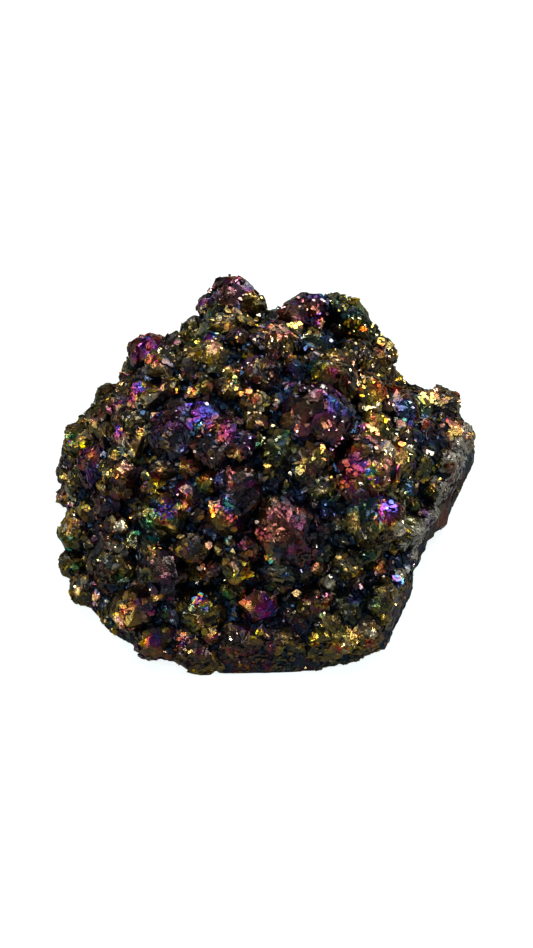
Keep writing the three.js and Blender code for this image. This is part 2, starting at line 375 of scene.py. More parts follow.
def try_head(angle, rise, start, radius, crowding, may_face):
    """A head out from a start, unless others crowd it or it faces the viewer too much."""
    outward = np.array([
        math.cos(angle) * math.cos(rise), math.sin(angle) * math.cos(rise), math.sin(rise)])
    place, axis = seat(start, outward, 0)
    for other in heads:
        if np.linalg.norm(other["place"] - place) < crowding * (other["radius"] + radius):
            return
    if axis @ TOWARDS_VIEWER < may_face:
        tint = BACK_TINTS[len(heads) % len(BACK_TINTS)]
        texture = "smooth" if len(heads) % SMOOTH_EVERY == 0 else "grain"
        add_head(place, axis, radius, tint, texture)


for height, radius, number in BACK_ROWS:
    for i in range(number):
        turn = (i + dice.between(-TURN_STRAY, TURN_STRAY)) / number
        level = height + dice.between(-LEVEL_STRAY, LEVEL_STRAY)
        size = radius * dice.between(*SIZE_RANGE)
        try_head(turn * 2 * math.pi, 0, np.array([0, 0, level]), size, CROWDING, OBLIQUE_FACING)
for i in range(FILLER_TRIES):
    rise = math.asin(dice.between(0, 1))
    angle = dice.between(0, 2 * math.pi)
    try_head(angle, rise, np.array([0, 0, FILLER_RADIUS]), FILLER_RADIUS, FILLER_CROWDING, 1)
print("heads in all:", len(heads))

# %% [markdown]
# Two tall heads at the top stand on a neck, and the shelf on the right ends in a corner. Domes
# alone would leave them undercut, so a few low heads, sunk to half their radius, fill them out.

# %% Low heads beside the tall ones and on the shelf
LOW_HEADS = """
    -13 50.5 5.4 plum; -5 50.5 5.8 brown; -15.2 46.2 3.4 brown; 11.3 48.6 6.6 maroon;
    -17.5 45 3.6 brown; 46 24.5 5 brown; 10 45.3 5.4 magenta"""
for across, up, radius, tint in listed(LOW_HEADS):
    seat_head(across, up, radius, radius / 2, tint, "grain")

# %% [markdown]
# Between the heads, in the gaps, sit buds: heads that were crowded out before they could grow.

# %% Buds
rng = np.random.default_rng(7)
BUD_RADIUS = (1.5, 2.7)
BUD_TRIES = 3500
BUD_CROWDING = 0.80
BUD_SUNK = 0.8
BUD_LEVEL = 0.7
BUD_LEAN = 0.15
BUD_DIRECTIONS = [1, 1, 0.6]
BUD_TINTS = ["brown", "olive", "copper", "bronze", "gold", "plum", "teal", "olive"]
bud_places = [head["place"] for head in heads]
bud_radii = [head["radius"] for head in heads]
for i in range(BUD_TRIES):
    radius = rng.uniform(*BUD_RADIUS)
    outward = unit(rng.normal(size=3) * BUD_DIRECTIONS)
    outward[2] = abs(outward[2])
    place, axis = seat(np.array([0, 0, radius * BUD_LEVEL]), outward, 0)
    distance = np.linalg.norm(np.array(bud_places) - place, axis=1)
    if np.any(distance < BUD_CROWDING * (np.array(bud_radii) + radius)):
        continue
    bud_places.append(place)
    bud_radii.append(radius)
    add_head(
        place - axis * BUD_SUNK, unit(axis + rng.normal(0, BUD_LEAN, 3)), radius,
        BUD_TINTS[i % len(BUD_TINTS)], "grain")
print("heads with buds:", len(heads))

# %% [markdown]
# ## Crystals to copy
#
# A quartz crystal is a six-sided prism under a six-sided point. On a coated cluster most of them
# are so crowded that only one face of each lies open, like a shard set in the surface. Modelling
# each of the thousands by hand would be hopeless, so three are made with a few operators, rings of
# six corners under a convex hull, and then copied with small changes. The root only anchors a
# crystal in the mass, so it runs to a single corner, and no copy has more than 22 triangles.

# %% Hulls round rings of six
def hull_of(rings, ends, alternation=0.0, unevenness=0.0):
    """A hull round rings of six corners (height, radius), and single corners at its ends."""
    shape = bmesh.new()
    for height, radius in rings:
        ring = bmesh.ops.create_circle(shape, segments=6, radius=radius)["verts"]
        for i, corner in enumerate(ring):
            corner.co.z = height + alternation * (-1) ** i
            corner.co += Vector(rng.normal(0, unevenness, 3))
    for end in ends:
        bmesh.ops.create_vert(shape, co=end)
    bmesh.ops.convex_hull(shape, input=shape.verts)
    bmesh.ops.triangulate(shape, faces=shape.faces)
    bmesh.ops.recalc_face_normals(shape, faces=shape.faces)
    return shape


def as_arrays(shape):
    """The corners and triangles of a bmesh, which is freed."""
    shape.verts.ensure_lookup_table()
    corners = np.array([corner.co[:] for corner in shape.verts])
    faces = np.array([[corner.index for corner in face.verts] for face in shape.faces])
    shape.free()
    return corners, faces


pointed = as_arrays(hull_of([(-0.55, 1.0)], [(0.25, 0, 0.15), (0, 0, -2.8)], alternation=0.09))
shard = as_arrays(hull_of([(0.0, 1.0)], [(0, 0, -2.4)]))
tablet = as_arrays(hull_of([(0.0, 0.84), (-0.24, 1.0)], [(0, 0, -1.8)]))
print("triangles:", len(pointed[1]), "pointed,", len(shard[1]), "shard,", len(tablet[1]), "tablet")

# %% Frames and copies
MOST_UPRIGHT = 0.9


def frames_for(axes, twists):
    """A turned frame for each axis: its third column is the axis."""
    helper = np.where(np.abs(axes[:, 2:]) < MOST_UPRIGHT, [[0.0, 0, 1]], [[1.0, 0, 0]])
    across = unit(np.cross(helper, axes))
    other = np.cross(axes, across)
    c = np.cos(twists)[:, None]
    s = np.sin(twists)[:, None]
    return np.stack([across * c + other * s, other * c - across * s, axes], axis=2)


def frames_along(axes, ways):
    """A frame for each axis, whose second column points as nearly along its way as it can."""
    across = unit(np.cross(ways, axes) + 1e-6)
    return np.stack([across, np.cross(axes, across), axes], axis=2)


# a face stays flat while its outline changes
OUTLINE_ONLY = np.array([1, 1, 0.12])


def copies(shape, places, frames, sizes, jitter):
    """Corners (copies, corners, 3) of a shape at many places, each with its own outline."""
    shifts = rng.normal(0, jitter, (len(places), len(shape[0]), 3)) * OUTLINE_ONLY
    corners = shape[0][None] + shifts
    corners = corners * sizes[:, None, :]
    return places[:, None, :] + np.einsum("nij,nvj->nvi", frames, corners)


def drift(points, wavelength, seed, waves=14):
    """A smooth random field between -1 and 1 that changes over a wavelength."""
    own = np.random.default_rng(seed)
    directions = unit(own.normal(size=(waves, 3)))
    rates = 2 * np.pi / (wavelength * own.uniform(0.7, 1.6, waves))
    phases = own.uniform(0, 2 * np.pi, waves)
    shifts = points @ (directions * rates[:, None]).T + phases
    return np.tanh(np.sin(shifts).sum(axis=-1) * math.sqrt(2 / waves))


# %% [markdown]
# ## Breaks and the base
#
# The mass is broken off down the right side, and cut flat below. Corners beyond a break are pushed
# back onto it, each crystal to its own depth, as a real break leaves them. Those above the tallest
# heads are pressed down a little, so that the crystals keep to the height of the solid.

# %% Pushing back
BREAK_RELIEF = 0.45
BREAK_WAVE = 4.0
BASE_RELIEF = 0.3
HIGHEST = 58.2
TOP_PRESS = 0.6


def pushed_back(corners, depth):
    """Corners brought inside the breaks, the hollow, the floor and the top."""
    shape = corners.shape
    flat = corners.reshape(-1, 3).copy()
    uneven = BREAK_RELIEF * (1 + drift(flat, BREAK_WAVE, 13))
    for point, normal in BREAKS:
        normal = unit(np.array(normal, dtype=float))
        beyond = np.maximum((flat - point) @ normal + depth, 0)
        flat -= (beyond + uneven * np.minimum(beyond, 1))[:, None] * normal
    from_hollow = flat - SCOOP_CENTRE
    distance = np.linalg.norm(from_hollow, axis=1, keepdims=True)
    wanted = SCOOP_RADIUS + (depth + uneven)[:, None]
    flat = np.where(distance < wanted, SCOOP_CENTRE + from_hollow / distance * wanted, flat)
    flat[:, 2] = np.maximum(flat[:, 2], depth * BASE_RELIEF)
    flat[:, 2] -= TOP_PRESS * np.maximum(flat[:, 2] - HIGHEST, 0)
    return flat.reshape(shape)


def own_depths(corners, low, high):
    """One random depth for each copy, repeated for all its corners."""
    return np.repeat(rng.uniform(low, high, len(corners)), corners.shape[1])


# %% [markdown]
# ## Heads
#
# A head is a blunt dome with flat faces let into it. Quartz grows the same six faces over and over,
# so every shard of a head leans towards the nearest of the head's own directions, six round it and
# one on top, and a whole side of a head lights up together.

# %% The face directions of each head
FACE_LEAN = (math.radians(50), math.radians(9))
TOP_LEAN = (0.12, 0.08)
FACE_TURN_SPREAD = 0.16
count = len(heads)
places = np.array([head["place"] for head in heads])
axes = np.array([head["axis"] for head in heads])
radii = np.array([head["radius"] for head in heads])
textures = np.array([head["texture"] for head in heads])
head_frames = frames_for(axes, rng.uniform(0, np.pi, count))
leans = np.concatenate([
    rng.normal(*FACE_LEAN, (count, 6)), rng.normal(*TOP_LEAN, (count, 1))], 1)
rounds = np.arange(7) * np.pi / 3 + rng.normal(0, FACE_TURN_SPREAD, (count, 7))
local_faces = np.stack([
    np.sin(leans) * np.cos(rounds), np.sin(leans) * np.sin(rounds), np.cos(leans)], axis=2)
face_ways = np.einsum("nij,nkj->nki", head_frames, local_faces)
print("face directions:", face_ways.shape[:2])


def nearest_face(directions, own_head):
    """The face direction of the head that lies closest to each direction."""
    closeness = np.einsum("nki,ni->nk", face_ways[own_head], directions)
    return face_ways[own_head, np.argmax(closeness, axis=1)]


def by_texture(values):
    """The value of each head, from one value for each texture."""
    return np.array([values[texture] for texture in textures])


# %% [markdown]
# Each dome starts as a hull round three rings. The bisect operator slices a flat face off it on
# each of its seven directions, and the sliced dome is subdivided and swelled unevenly, so that it
# is neither a ball nor a cut gem.

# %% Domes
DOME_RINGS = [(0.0, 1.0), (0.42, 0.90), (0.72, 0.62)]
DOME_ENDS = [(0.10, 0.0, 0.95), (0, 0, -1.4)]
DOME_CUTS = 2
BUD_CUTS = 1
LARGEST_BUD = 3
DOME_SHARE = 1.10
DOME_LEAST, DOME_MOST = [0.86, 0.86, 0.92], [1.10, 1.10, 1.02]
SWELL_WAVE = 6.5
SWELL = {"smooth": 0.035, "grain": 0.14, "plate": 0.10, "fan": 0.10}
FACE_REACH = {
    "smooth": (0.70, 0.88), "grain": (0.78, 0.94), "plate": (0.74, 0.90), "fan": (0.82, 0.96)}
dome_parts, face_parts = [], []


def swell_at(points, head):
    return drift(points, SWELL_WAVE, 11) * SWELL[textures[head]]


def sliced(shape, point, normal):
    """Cuts off what lies beyond a plane, and closes the cut."""
    parts = shape.verts[:] + shape.edges[:] + shape.faces[:]
    cut = bmesh.ops.bisect_plane(
        shape, geom=parts, plane_co=point, plane_no=normal, clear_outer=True)["geom_cut"]
    rim = [part for part in cut if isinstance(part, bmesh.types.BMEdge)]
    bmesh.ops.holes_fill(shape, edges=rim, sides=0)


for i in range(count):
    shape = hull_of(DOME_RINGS, DOME_ENDS, alternation=0.04, unevenness=0.10)
    for way in local_faces[i]:
        sliced(shape, way * rng.uniform(*FACE_REACH[textures[i]]), way)
    bmesh.ops.triangulate(shape, faces=shape.faces)
    cuts = DOME_CUTS if radii[i] > LARGEST_BUD else BUD_CUTS
    bmesh.ops.subdivide_edges(shape, edges=shape.edges, cuts=cuts, use_grid_fill=True)
    bmesh.ops.triangulate(shape, faces=shape.faces)
    corners, faces = as_arrays(shape)
    corners = corners * radii[i] * DOME_SHARE * rng.uniform(DOME_LEAST, DOME_MOST)
    corners = corners @ head_frames[i].T
    swell = swell_at(corners + places[i], i)
    face_parts.append(faces + sum(len(part) for part in dome_parts))
    dome_parts.append(places[i] + corners * (1 + swell[:, None]))
dome_sizes = [len(part) for part in dome_parts]
dome_head = np.repeat(np.arange(count), [len(part) for part in face_parts])
dome_corners = np.concatenate(dome_parts)
dome_faces = np.concatenate(face_parts)
print("domes:", count, "with", len(dome_faces), "triangles")

# %% [markdown]
# On the larger heads some faces grew much broader than the shards round them. They are copies of
# the tablet, set out over the dome in a spiral that leaves no two in a row, and each is turned
# partly to the nearest face direction of its head.

# %% Large flat faces
LARGE_MIN_RADIUS = 3.2
LARGE_SHARE = {"smooth": (14, 0.25), "grain": (9, 0.24), "plate": (14, 0.23), "fan": (7, 0.22)}
LARGE_SPREAD = 0.75
LARGE_DEPTH = (0.88, 0.97)
LARGE_RANGE = (0.7, 1.25)
LARGE_SIDES = (0.75, 1.2)
LARGE_PULL = 0.55
LARGE_TILT = 0.06
LARGE_JITTER = 0.13
GOLDEN_ANGLE = 2.39996
SPIRAL_START = 0.7
SPIRAL_STRAY = 0.4
large_places, large_ways, large_sizes, large_head = [], [], [], []
for i in np.flatnonzero(radii > LARGE_MIN_RADIUS):
    number, share = LARGE_SHARE[textures[i]]
    for k in range(number):
        lean = math.acos(1 - (k + SPIRAL_START) / number * LARGE_SPREAD)
        turn = k * GOLDEN_ANGLE + rng.uniform(-SPIRAL_STRAY, SPIRAL_STRAY)
        local = [math.sin(lean) * math.cos(turn), math.sin(lean) * math.sin(turn), math.cos(lean)]
        out = head_frames[i] @ np.array(local)
        large_ways.append(out)
        swell = swell_at(places[i] + out * radii[i], i)
        large_places.append(places[i] + out * radii[i] * rng.uniform(*LARGE_DEPTH) * (1 + swell))
        large_sizes.append(radii[i] * share * rng.uniform(*LARGE_RANGE))
        large_head.append(i)
large_head = np.array(large_head)
large_ways = np.array(large_ways)
large_axes = large_ways * (1 - LARGE_PULL) + nearest_face(large_ways, large_head) * LARGE_PULL
large_axes = unit(unit(large_axes) + rng.normal(0, LARGE_TILT, large_axes.shape))
large_sizes = np.array(large_sizes)[:, None] * rng.uniform(*LARGE_SIDES, (len(large_sizes), 3))
large_frames = frames_along(large_axes, axes[large_head])
large_corners = copies(tablet, np.array(large_places), large_frames, large_sizes, LARGE_JITTER)
print("large faces:", len(large_places))

# %% [markdown]
# One broad maroon facet lies open on the break itself. It's a tablet too, and it keeps
#  its place while the domes and the other faces are pushed back.

# %% The lone facet on the break
LONE_FACE = np.array([46.4, -8.0, 5.2])
LONE_WAY = unit(np.array([[0.80, -0.50, 0.33]]))
LONE_SIZE = np.array([[3.2, 4.6, 3.0]])
LONE_JITTER = 0.08
DOME_DEPTHS = (0.15, 0.6)
LARGE_DEPTHS = (0.1, 0.6)
upright = frames_along(LONE_WAY, np.array([[0, 0, 1.0]]))
lone_corners = copies(tablet, LONE_FACE[None], upright, LONE_SIZE, LONE_JITTER)
lone_head = np.argmin(np.linalg.norm(places - LONE_FACE, axis=1))
dome_corners = pushed_back(dome_corners, np.repeat(rng.uniform(*DOME_DEPTHS, count), dome_sizes))
large_corners = pushed_back(large_corners, own_depths(large_corners, *LARGE_DEPTHS))
large_corners = np.concatenate([large_corners, lone_corners])
large_head = np.append(large_head, lone_head)
print("the lone facet belongs to head", lone_head)

# %% [markdown]
# ## The rock under the crystals
#
# The lumps are joined by a voxel remesh, cut with the bisect operator along the breaks and the
# base, and remeshed once more, which rounds the cut edges a little, as on a real broken stone.

# %% Meshes from arrays, and back
def fill_mesh(name, corners, faces):
    """A mesh of triangles from arrays."""
    data = bpy.data.meshes.new(name)
    data.from_pydata(corners.tolist(), [], faces.tolist(), shade_flat=False)
    return data


def tiled(shape, corners):
    """The faces of many copies of a shape, numbered on from one to the next."""
    number, each = corners.shape[:2]
    steps = np.arange(number)[:, None, None] * each
    return (shape[1][None] + steps).reshape(-1, 3)


def joined(parts):
    """One pair of arrays from several (corners, faces) pairs."""
    steps = np.cumsum([0] + [len(corners) for corners, faces in parts[:-1]])
    return (
        np.concatenate([corners for corners, faces in parts]),
        np.concatenate([faces + step for (corners, faces), step in zip(parts, steps)]))


def remeshed(corners, faces, grain):
    """The outer surface of overlapping closed shapes, as an even mesh."""
    piece = add_object("remeshed", fill_mesh("remeshed", corners, faces))
    remesh = piece.modifiers.new("voxels", "REMESH")
    remesh.mode = "VOXEL"
    remesh.voxel_size = grain
    depsgraph = bpy.context.evaluated_depsgraph_get()
    even = bpy.data.meshes.new_from_object(piece.evaluated_get(depsgraph))
    bpy.data.objects.remove(piece)
    return even


def mesh_arrays(data):
    """The points of a mesh, and the ways that they face."""
    corners = np.empty(len(data.vertices) * 3)
    data.vertices.foreach_get("co", corners)
    normals = np.empty(len(data.vertices) * 3)
    data.vertices.foreach_get("normal", normals)
    return corners.reshape(-1, 3), unit(normals.reshape(-1, 3))


# %% Rock
ROCK_GRAIN = 0.9
ROCK_GROWTH = 1.3
ROCK_DEPTH = 0.45
ROCK_SWELL = 0.35
ROCK_WAVE = 7
BASE_SNAP = 0.3
balls = []
for centre, half_axes, gap in LUMPS:
    ball = bmesh.new()
    bmesh.ops.create_icosphere(ball, subdivisions=5, radius=1)
    corners, faces = as_arrays(ball)
    balls.append((corners * (np.array(half_axes) - gap + ROCK_GROWTH) + np.array(centre), faces))
rock = bmesh.new()
rock.from_mesh(remeshed(*joined(balls), ROCK_GRAIN))
for point, normal in BREAKS + [((0, 0, 0), (0, 0, -1))]:
    sliced(rock, point, normal)
bmesh.ops.triangulate(rock, faces=rock.faces)
cut_rock = as_arrays(rock)
even_rock = bmesh.new()
even_rock.from_mesh(remeshed(*cut_rock, ROCK_GRAIN))
bmesh.ops.triangulate(even_rock, faces=even_rock.faces)
even_rock.normal_update()
rock_normals = np.array([corner.normal[:] for corner in even_rock.verts])
rock_corners, rock_faces = as_arrays(even_rock)
rock_corners += rock_normals * ROCK_SWELL * drift(rock_corners, ROCK_WAVE, 12)[:, None]
rock_corners = pushed_back(rock_corners, np.full(len(rock_corners), ROCK_DEPTH))
rock_corners[rock_corners[:, 2] < BASE_SNAP, 2] = 0
print("triangles of the rock:", len(rock_faces))

# %% [markdown]
# ## The skin
#
# Small crystals cover everything that lies open. To find what lies open, the rock, the domes and
# the large faces are joined and voxel remeshed. A remesh keeps only the outer surface, so every
# point on it is a place where a crystal could really have grown.

# %% Skin
SKIN_GRAIN = 0.5
large_faces = tiled(tablet, large_corners)
skin = remeshed(*joined([
    (rock_corners, rock_faces), (dome_corners, dome_faces),
    (large_corners.reshape(-1, 3), large_faces)]), SKIN_GRAIN)
skin_points, skin_normals = mesh_arrays(skin)
print("points of the skin:", len(skin_points))

# %% [markdown]
# The creases between heads get painted shade: their coating is darkened there, and turned navy at
# their deepest. To know
#  a crease from a crown, the skin is smoothed, each point moving again and again to the middle of
#  its neighbours. A point that lay in a crease has moved outwards, and one on a crown inwards.

# %% Creases
SMOOTHINGS = 45
edges = np.empty(len(skin.edges) * 2, dtype=np.int64)
skin.edges.foreach_get("vertices", edges)
edges = edges.reshape(-1, 2)
ends_a = np.concatenate([edges[:, 0], edges[:, 1]])
ends_b = np.concatenate([edges[:, 1], edges[:, 0]])
neighbours = np.bincount(ends_a, minlength=len(skin_points))[:, None]
smooth = skin_points.copy()
for i in range(SMOOTHINGS):
    total = np.stack([
        np.bincount(ends_a, weights=smooth[ends_b, k], minlength=len(smooth)) for k in range(3)], 1)
    smooth = 0.5 * smooth + 0.5 * total / neighbours
skin_rise = ((skin_points - smooth) * skin_normals).sum(axis=1)
print("rise over the smoothed skin:", np.percentile(skin_rise, [5, 25, 50, 75, 95]).round(2))

# %% [markdown]
# ## Small crystals
#
# They're thinned so that none stands closer to the next than its own width, as in nature, where a
# crystal stops growing when it meets its neighbour. Striking out the candidates too near to one
# already kept gives that spacing.

# %% Whose head is each point of the skin
DOME_SUNK = 0.2
OPEN_ABOVE = 0.35
BREAK_EDGE = 1.5


def nearest_heads(points):
    """For each point the head that it lies on, and how far out it is in that head's radii."""
    best = np.full(len(points), 1e9)
    owner = np.zeros(len(points), dtype=int)
    for i in range(count):
        middle_to = points - places[i] + axes[i] * radii[i] * DOME_SUNK
        away = np.linalg.norm(middle_to, axis=1) / radii[i]
        closer = away < best
        best[closer] = away[closer]
        owner[closer] = i
    return owner, best


def behind_breaks(points):
    """How far inside the breaks each point lies."""
    inside = np.linalg.norm(points - SCOOP_CENTRE, axis=1) - SCOOP_RADIUS
    return np.minimum(inside, -(points - BREAKS[0][0]) @ unit(np.array(BREAKS[0][1])))


open_air = skin_points[:, 2] > OPEN_ABOVE
points = skin_points[open_air]
normals = skin_normals[open_air]
rise = skin_rise[open_air]
owner, away = nearest_heads(points)
inside = behind_breaks(points)
on_break = inside < BREAK_EDGE
print("open points:", len(points), "of them on the break:", on_break.sum())

# %% [markdown]
# The smoother a head, the more of its dome stays bare between its crystals. The rim beside the
# break carries no film of its own thickness: it's a rind of fine grey grains. Below it the broken
# side itself is smooth and dark.

# %% Spacing
SPACING = {"smooth": 0.88, "grain": 0.74, "plate": 0.96, "fan": 0.82}
BARE = {"smooth": 0.45, "grain": 0.20, "plate": 0.30, "fan": 0.15}
BARE_WAVE = 5.5
ON_ROCK = 0.35
GAP_FROM = 1.08
GAP_RISE = 0.1
BACK_SPACING = 1.3
BACK_FACING = -0.15
SPACING_DRIFT = 0.25
SPACING_SPREAD = 0.30
SPACING_LIMITS = (0.5, 1.7)
GRAIN_SPACING = 0.55
SPACING_WAVE = 9
RIND_WIDTH = 3.6
RIND_STRAY, RIND_WAVE = 1.5, 6
RIND_FACING = -0.2
RIND_END, END_STRAY = -17, 2
GRAIN_LEVEL, GRAIN_WAVE = 8, 5
LONE_ROOM = 0.9
rind = inside + RIND_STRAY * drift(points, RIND_WAVE, 24) < RIND_WIDTH
rind &= normals @ TOWARDS_VIEWER > RIND_FACING
rind &= points @ DISPLAY_UP + END_STRAY * drift(points, RIND_WAVE, 26) > RIND_END
spacing = by_texture(SPACING)[owner]
bare_share = by_texture(BARE)[owner]
spacing *= np.where(normals @ TOWARDS_VIEWER < BACK_FACING, BACK_SPACING, 1.0)
spacing *= 1 + SPACING_DRIFT * drift(points, SPACING_WAVE, 21)
rock_tree = BVHTree.FromPolygons(rock_corners.tolist(), rock_faces.tolist())
to_rock = np.array([rock_tree.find_nearest(point)[3] for point in points])
on_rock = to_rock < ON_ROCK
in_gap = on_rock | ((away > GAP_FROM) & (rise < GAP_RISE))


def is_bare(points, share):
    """Where a drifting field leaves a share of the skin without crystals."""
    return (drift(points, BARE_WAVE, 22) + 1) / 2 < share


bare = is_bare(points, bare_share)
bare &= ~in_gap
spacing[rind] = GRAIN_SPACING
bare[rind] = False
bare |= on_break & (points[:, 2] + RIND_STRAY * drift(points, GRAIN_WAVE, 25) < GRAIN_LEVEL)
bare |= np.linalg.norm(points - LONE_FACE, axis=1) < LONE_SIZE.max() * LONE_ROOM
print("bare share:", bare.mean().round(2), "rind share:", rind.mean().round(2))


# %% Thinning
def tree_of(points):
    """A tree that finds the nearest of many points quickly."""
    tree = KDTree(len(points))
    for i, point in enumerate(points):
        tree.insert(point, i)
    tree.balance()
    return tree


def thinned(points, spacing, order):
    """Indices of points kept so that each has its own room."""
    tree = tree_of(points)
    free = np.ones(len(points), dtype=bool)
    kept = []
    for i in order:
        if not free[i]:
            continue
        kept.append(i)
        for place, j, distance in tree.find_range(points[i], spacing[i]):
            free[j] = False
    return np.array(kept)


candidates = np.flatnonzero(~bare)
spacing *= rng.lognormal(0, SPACING_SPREAD, len(spacing)).clip(*SPACING_LIMITS)
order = rng.permutation(len(candidates))
kept = candidates[thinned(points[candidates], spacing[candidates], order)]
print("small crystals:", len(kept))

# %% [markdown]
# ## Patches that differ
#
# Here and there a patch has a colour of its own; the navy ones are painted shade. In some of them the
# faces
#  are parallel, and mirror one bright thing in the room all together: there the face direction is
#  halfway between the way to the viewer and the way to a light panel, which is where a mirror has to
#  face. Each row is across, up, radius and tint.

# %% Patches
ACCENTS = listed("""
    -13.5 39.5 1.8 pearl; -19 38 1.3 gold; -9 33 1.6 gold; -8 31.5 1 teal; -5 28.5 1.3 orange;
    -19 28 1.3 orange; -17.5 28 0.8 teal; -24.5 29 1 orange; -32 39.5 2.3 purple; -30 37 1.5 coral;
    -32.5 43 0.9 blue; -30.5 41 1.3 magenta; -33 29.5 2.1 violet; -34.5 26 1.6 magenta;
    -38.5 24 1 coral; -15.5 22.5 3.4 violet; -18.5 19.5 1.6 teal; -10.5 18 2.6 magenta;
    -7.5 11.5 1.8 gold; -32 17.5 1.3 orange; -38.5 18 1.8 violet; -50.5 16 1.6 teal;
    -45 20.5 1 gold; -45 12 1.6 orange; -36.5 9 1.8 pearl; -25.5 -2 2.8 violet; -21 -1 1.6 orange;
    -30 -5 2.1 green; -37.5 -6 1.3 white; -9.5 -1 1.8 teal; -10 -3.5 1.6 magenta;
    0.5 -3.5 1.3 orange; -1 -8.5 2.3 magenta; 1 -15 1.6 teal; -0.5 -25 1.8 rainbow;
    -17 -25.5 2.3 violet; -38.5 -30.8 1.8 pearl; -37 -27.5 1.1 coral; -29 -36 1.8 purple;
    -28.5 -25 1.3 gold; -49 -23.5 1 pearl; -44.5 -24.5 1 pearl; -51.5 -9.5 1.3 teal;
    -51.5 -1.5 1.3 purple; -49.5 -16.5 1.8 green; -38 -19 1.3 green; 7.5 46.5 2.3 gold;
    6 49.5 1.8 plum; 13.5 51 2 maroon; 16.5 33.5 1.6 magenta; 16.5 25.5 2.1 blue;
    15.5 20 2.6 maroon; 11.5 25.3 3.4 umber; 29.5 27.5 2.3 orange; 29 24.5 1 white;
    27.5 18.5 2.1 gold; 27 22 1 coral; 34 11 2.6 gold; 31.5 13.5 1.6 white; 35 15 1.2 coral;
    31 10 1.4 pearl; 37.5 14.5 1.2 white; 26.5 24 1.3 gold; 47 26.5 1.2 pearl; 43 13 1.2 silver;
    38 20.5 1.6 blue; 22.5 9.5 3.1 magenta; 27.5 7 1.8 teal; 25.5 8 1.3 violet; 3.8 -5.5 4.8 maroon;
    31.2 -1.5 3.8 purple; 20.5 4.5 2.1 coral; 31 -1 2.6 violet; 27.5 -3.5 1.3 purple;
    22 -5 2.3 gold; 35.5 -7.5 2.3 silver; 20.5 -16.5 1 gold; 29 -17 1.3 orange; 34 -20.5 1.6 blue;
    15.5 -20.5 1 silver; 13 -27.5 1 purple; 15.5 -25.5 0.8 coral; 43 27.5 2.3 gold;
    50 18.5 2.3 gold; 47.5 8.5 1.6 coral; 42.5 3 1.6 gold; 47 -4 2.8 maroon; 22 -34.5 2.6 gold;
    27 -34 1 white; 20.5 -37.5 0.8 white; -9 54 3.6 plum; -3.5 53 2.1 olive; 17.5 43 3.2 navy;
    10 41 2.4 navy; 9 34.5 2.8 navy; 1.5 47 2.8 navy; 23 23 2.5 navy; 36.5 24 3 navy;
    41 16.5 2.8 navy; 5 27.5 2 navy; 16 -1.5 2.8 navy; 24 -24 2.4 navy; 8 2 2.4 navy;
    38 4 2.2 navy""")
ACCENT_SEARCH = 0.6
FLASHING = {
    "pearl", "gold", "orange", "coral", "white", "silver", "violet", "blue", "magenta", "teal"}


def in_display(points):
    """How far across, up and near a point is, seen square on from the display side."""
    return points[..., 0], points @ DISPLAY_UP, points @ TOWARDS_VIEWER


skin_across, skin_up, skin_near = in_display(points)
accent_spots = []
for across, up, radius, tint in ACCENTS:
    beside = np.hypot(skin_across - across, skin_up - up)
    accent_spots.append(np.argmax(np.where(beside < ACCENT_SEARCH, skin_near, -1e9)))
accent_near = skin_near[accent_spots]
print("patches:", len(ACCENTS))


# %% Mirrors
def into_frame(corners):
    """From the layout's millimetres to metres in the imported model's frame."""
    return (corners - LAYOUT_MIDDLE) * TO_METRES


def mirror_ways(spot):
    """For each panel, the way that a face has to look to mirror it from a spot to the viewer."""
    place = into_frame(spot)
    to_viewer = unit(np.array(camera.location) - place)
    return {name: unit(unit(PANELS[name][0] - place) + to_viewer) for name in PANELS}


patches = []
for (across, up, radius, tint), spot in zip(ACCENTS, accent_spots):
    if tint not in FLASHING:
        continue
    ways = mirror_ways(points[spot])
    wanted = [name for name in ways if name.startswith("spark") == (tint == "white")]
    facing = max(wanted, key=lambda name: ways[name] @ normals[spot])
    patches.append((points[spot], radius, ways[facing]))
print("patches that flash:", len(patches))

# %% [markdown]
# A head isn't one smooth dome. It's built of blocks a few millimetres across, each a crystal that
# stopped at its own height, with grooves between them. All the shards of a block lie parallel, so
# one block flashes while the next is dark.

# %% Blocks
BLOCK_SPACING = 2.7
BLOCK_SPREAD = 0.35
BLOCK_PULL = 0.5
BLOCK_TILT = 0.13
BLOCK_STEP = 0.22
GROOVE_WIDTH = 0.50
block_room = BLOCK_SPACING * rng.lognormal(0, BLOCK_SPREAD, len(kept))
block_seeds = kept[thinned(points[kept], block_room, rng.permutation(len(kept)))]
block_ways = normals[block_seeds]
block_faces = nearest_face(block_ways, owner[block_seeds])
block_axes = unit(block_ways * (1 - BLOCK_PULL) + block_faces * BLOCK_PULL)
block_axes = unit(block_axes + rng.normal(0, BLOCK_TILT, block_axes.shape))
block_heights = rng.normal(0, BLOCK_STEP, len(block_seeds))
seed_tree = tree_of(points[block_seeds])
block = np.empty(len(kept), dtype=int)
groove = np.empty(len(kept))
for i, point in enumerate(points[kept]):
    (_, first, to_first), (_, second, to_second) = seed_tree.find_n(point, 2)
    block[i] = first
    groove[i] = to_second - to_first
groove = (1 - groove / GROOVE_WIDTH).clip(0, 1)
print("blocks:", len(block_seeds))

# %% [markdown]
# A crystal that juts far out of the skin would have been knocked off, so it's left out.

# %% What stands out too far
MOST_STANDING_OUT = 0.90
skin_tree = tree_of(skin_points)


def nearest_skin(spots):
    """For each spot the number of the skin's point that lies nearest."""
    return np.array([skin_tree.find(spot)[1] for spot in spots])


def standing_out(corners):
    """How far the outermost corner of each crystal stands out of the skin."""
    flat = corners.reshape(-1, 3)
    nearest = nearest_skin(flat)
    out = ((flat - skin_points[nearest]) * skin_normals[nearest]).sum(axis=1)
    return out.reshape(corners.shape[:2]).max(axis=1)


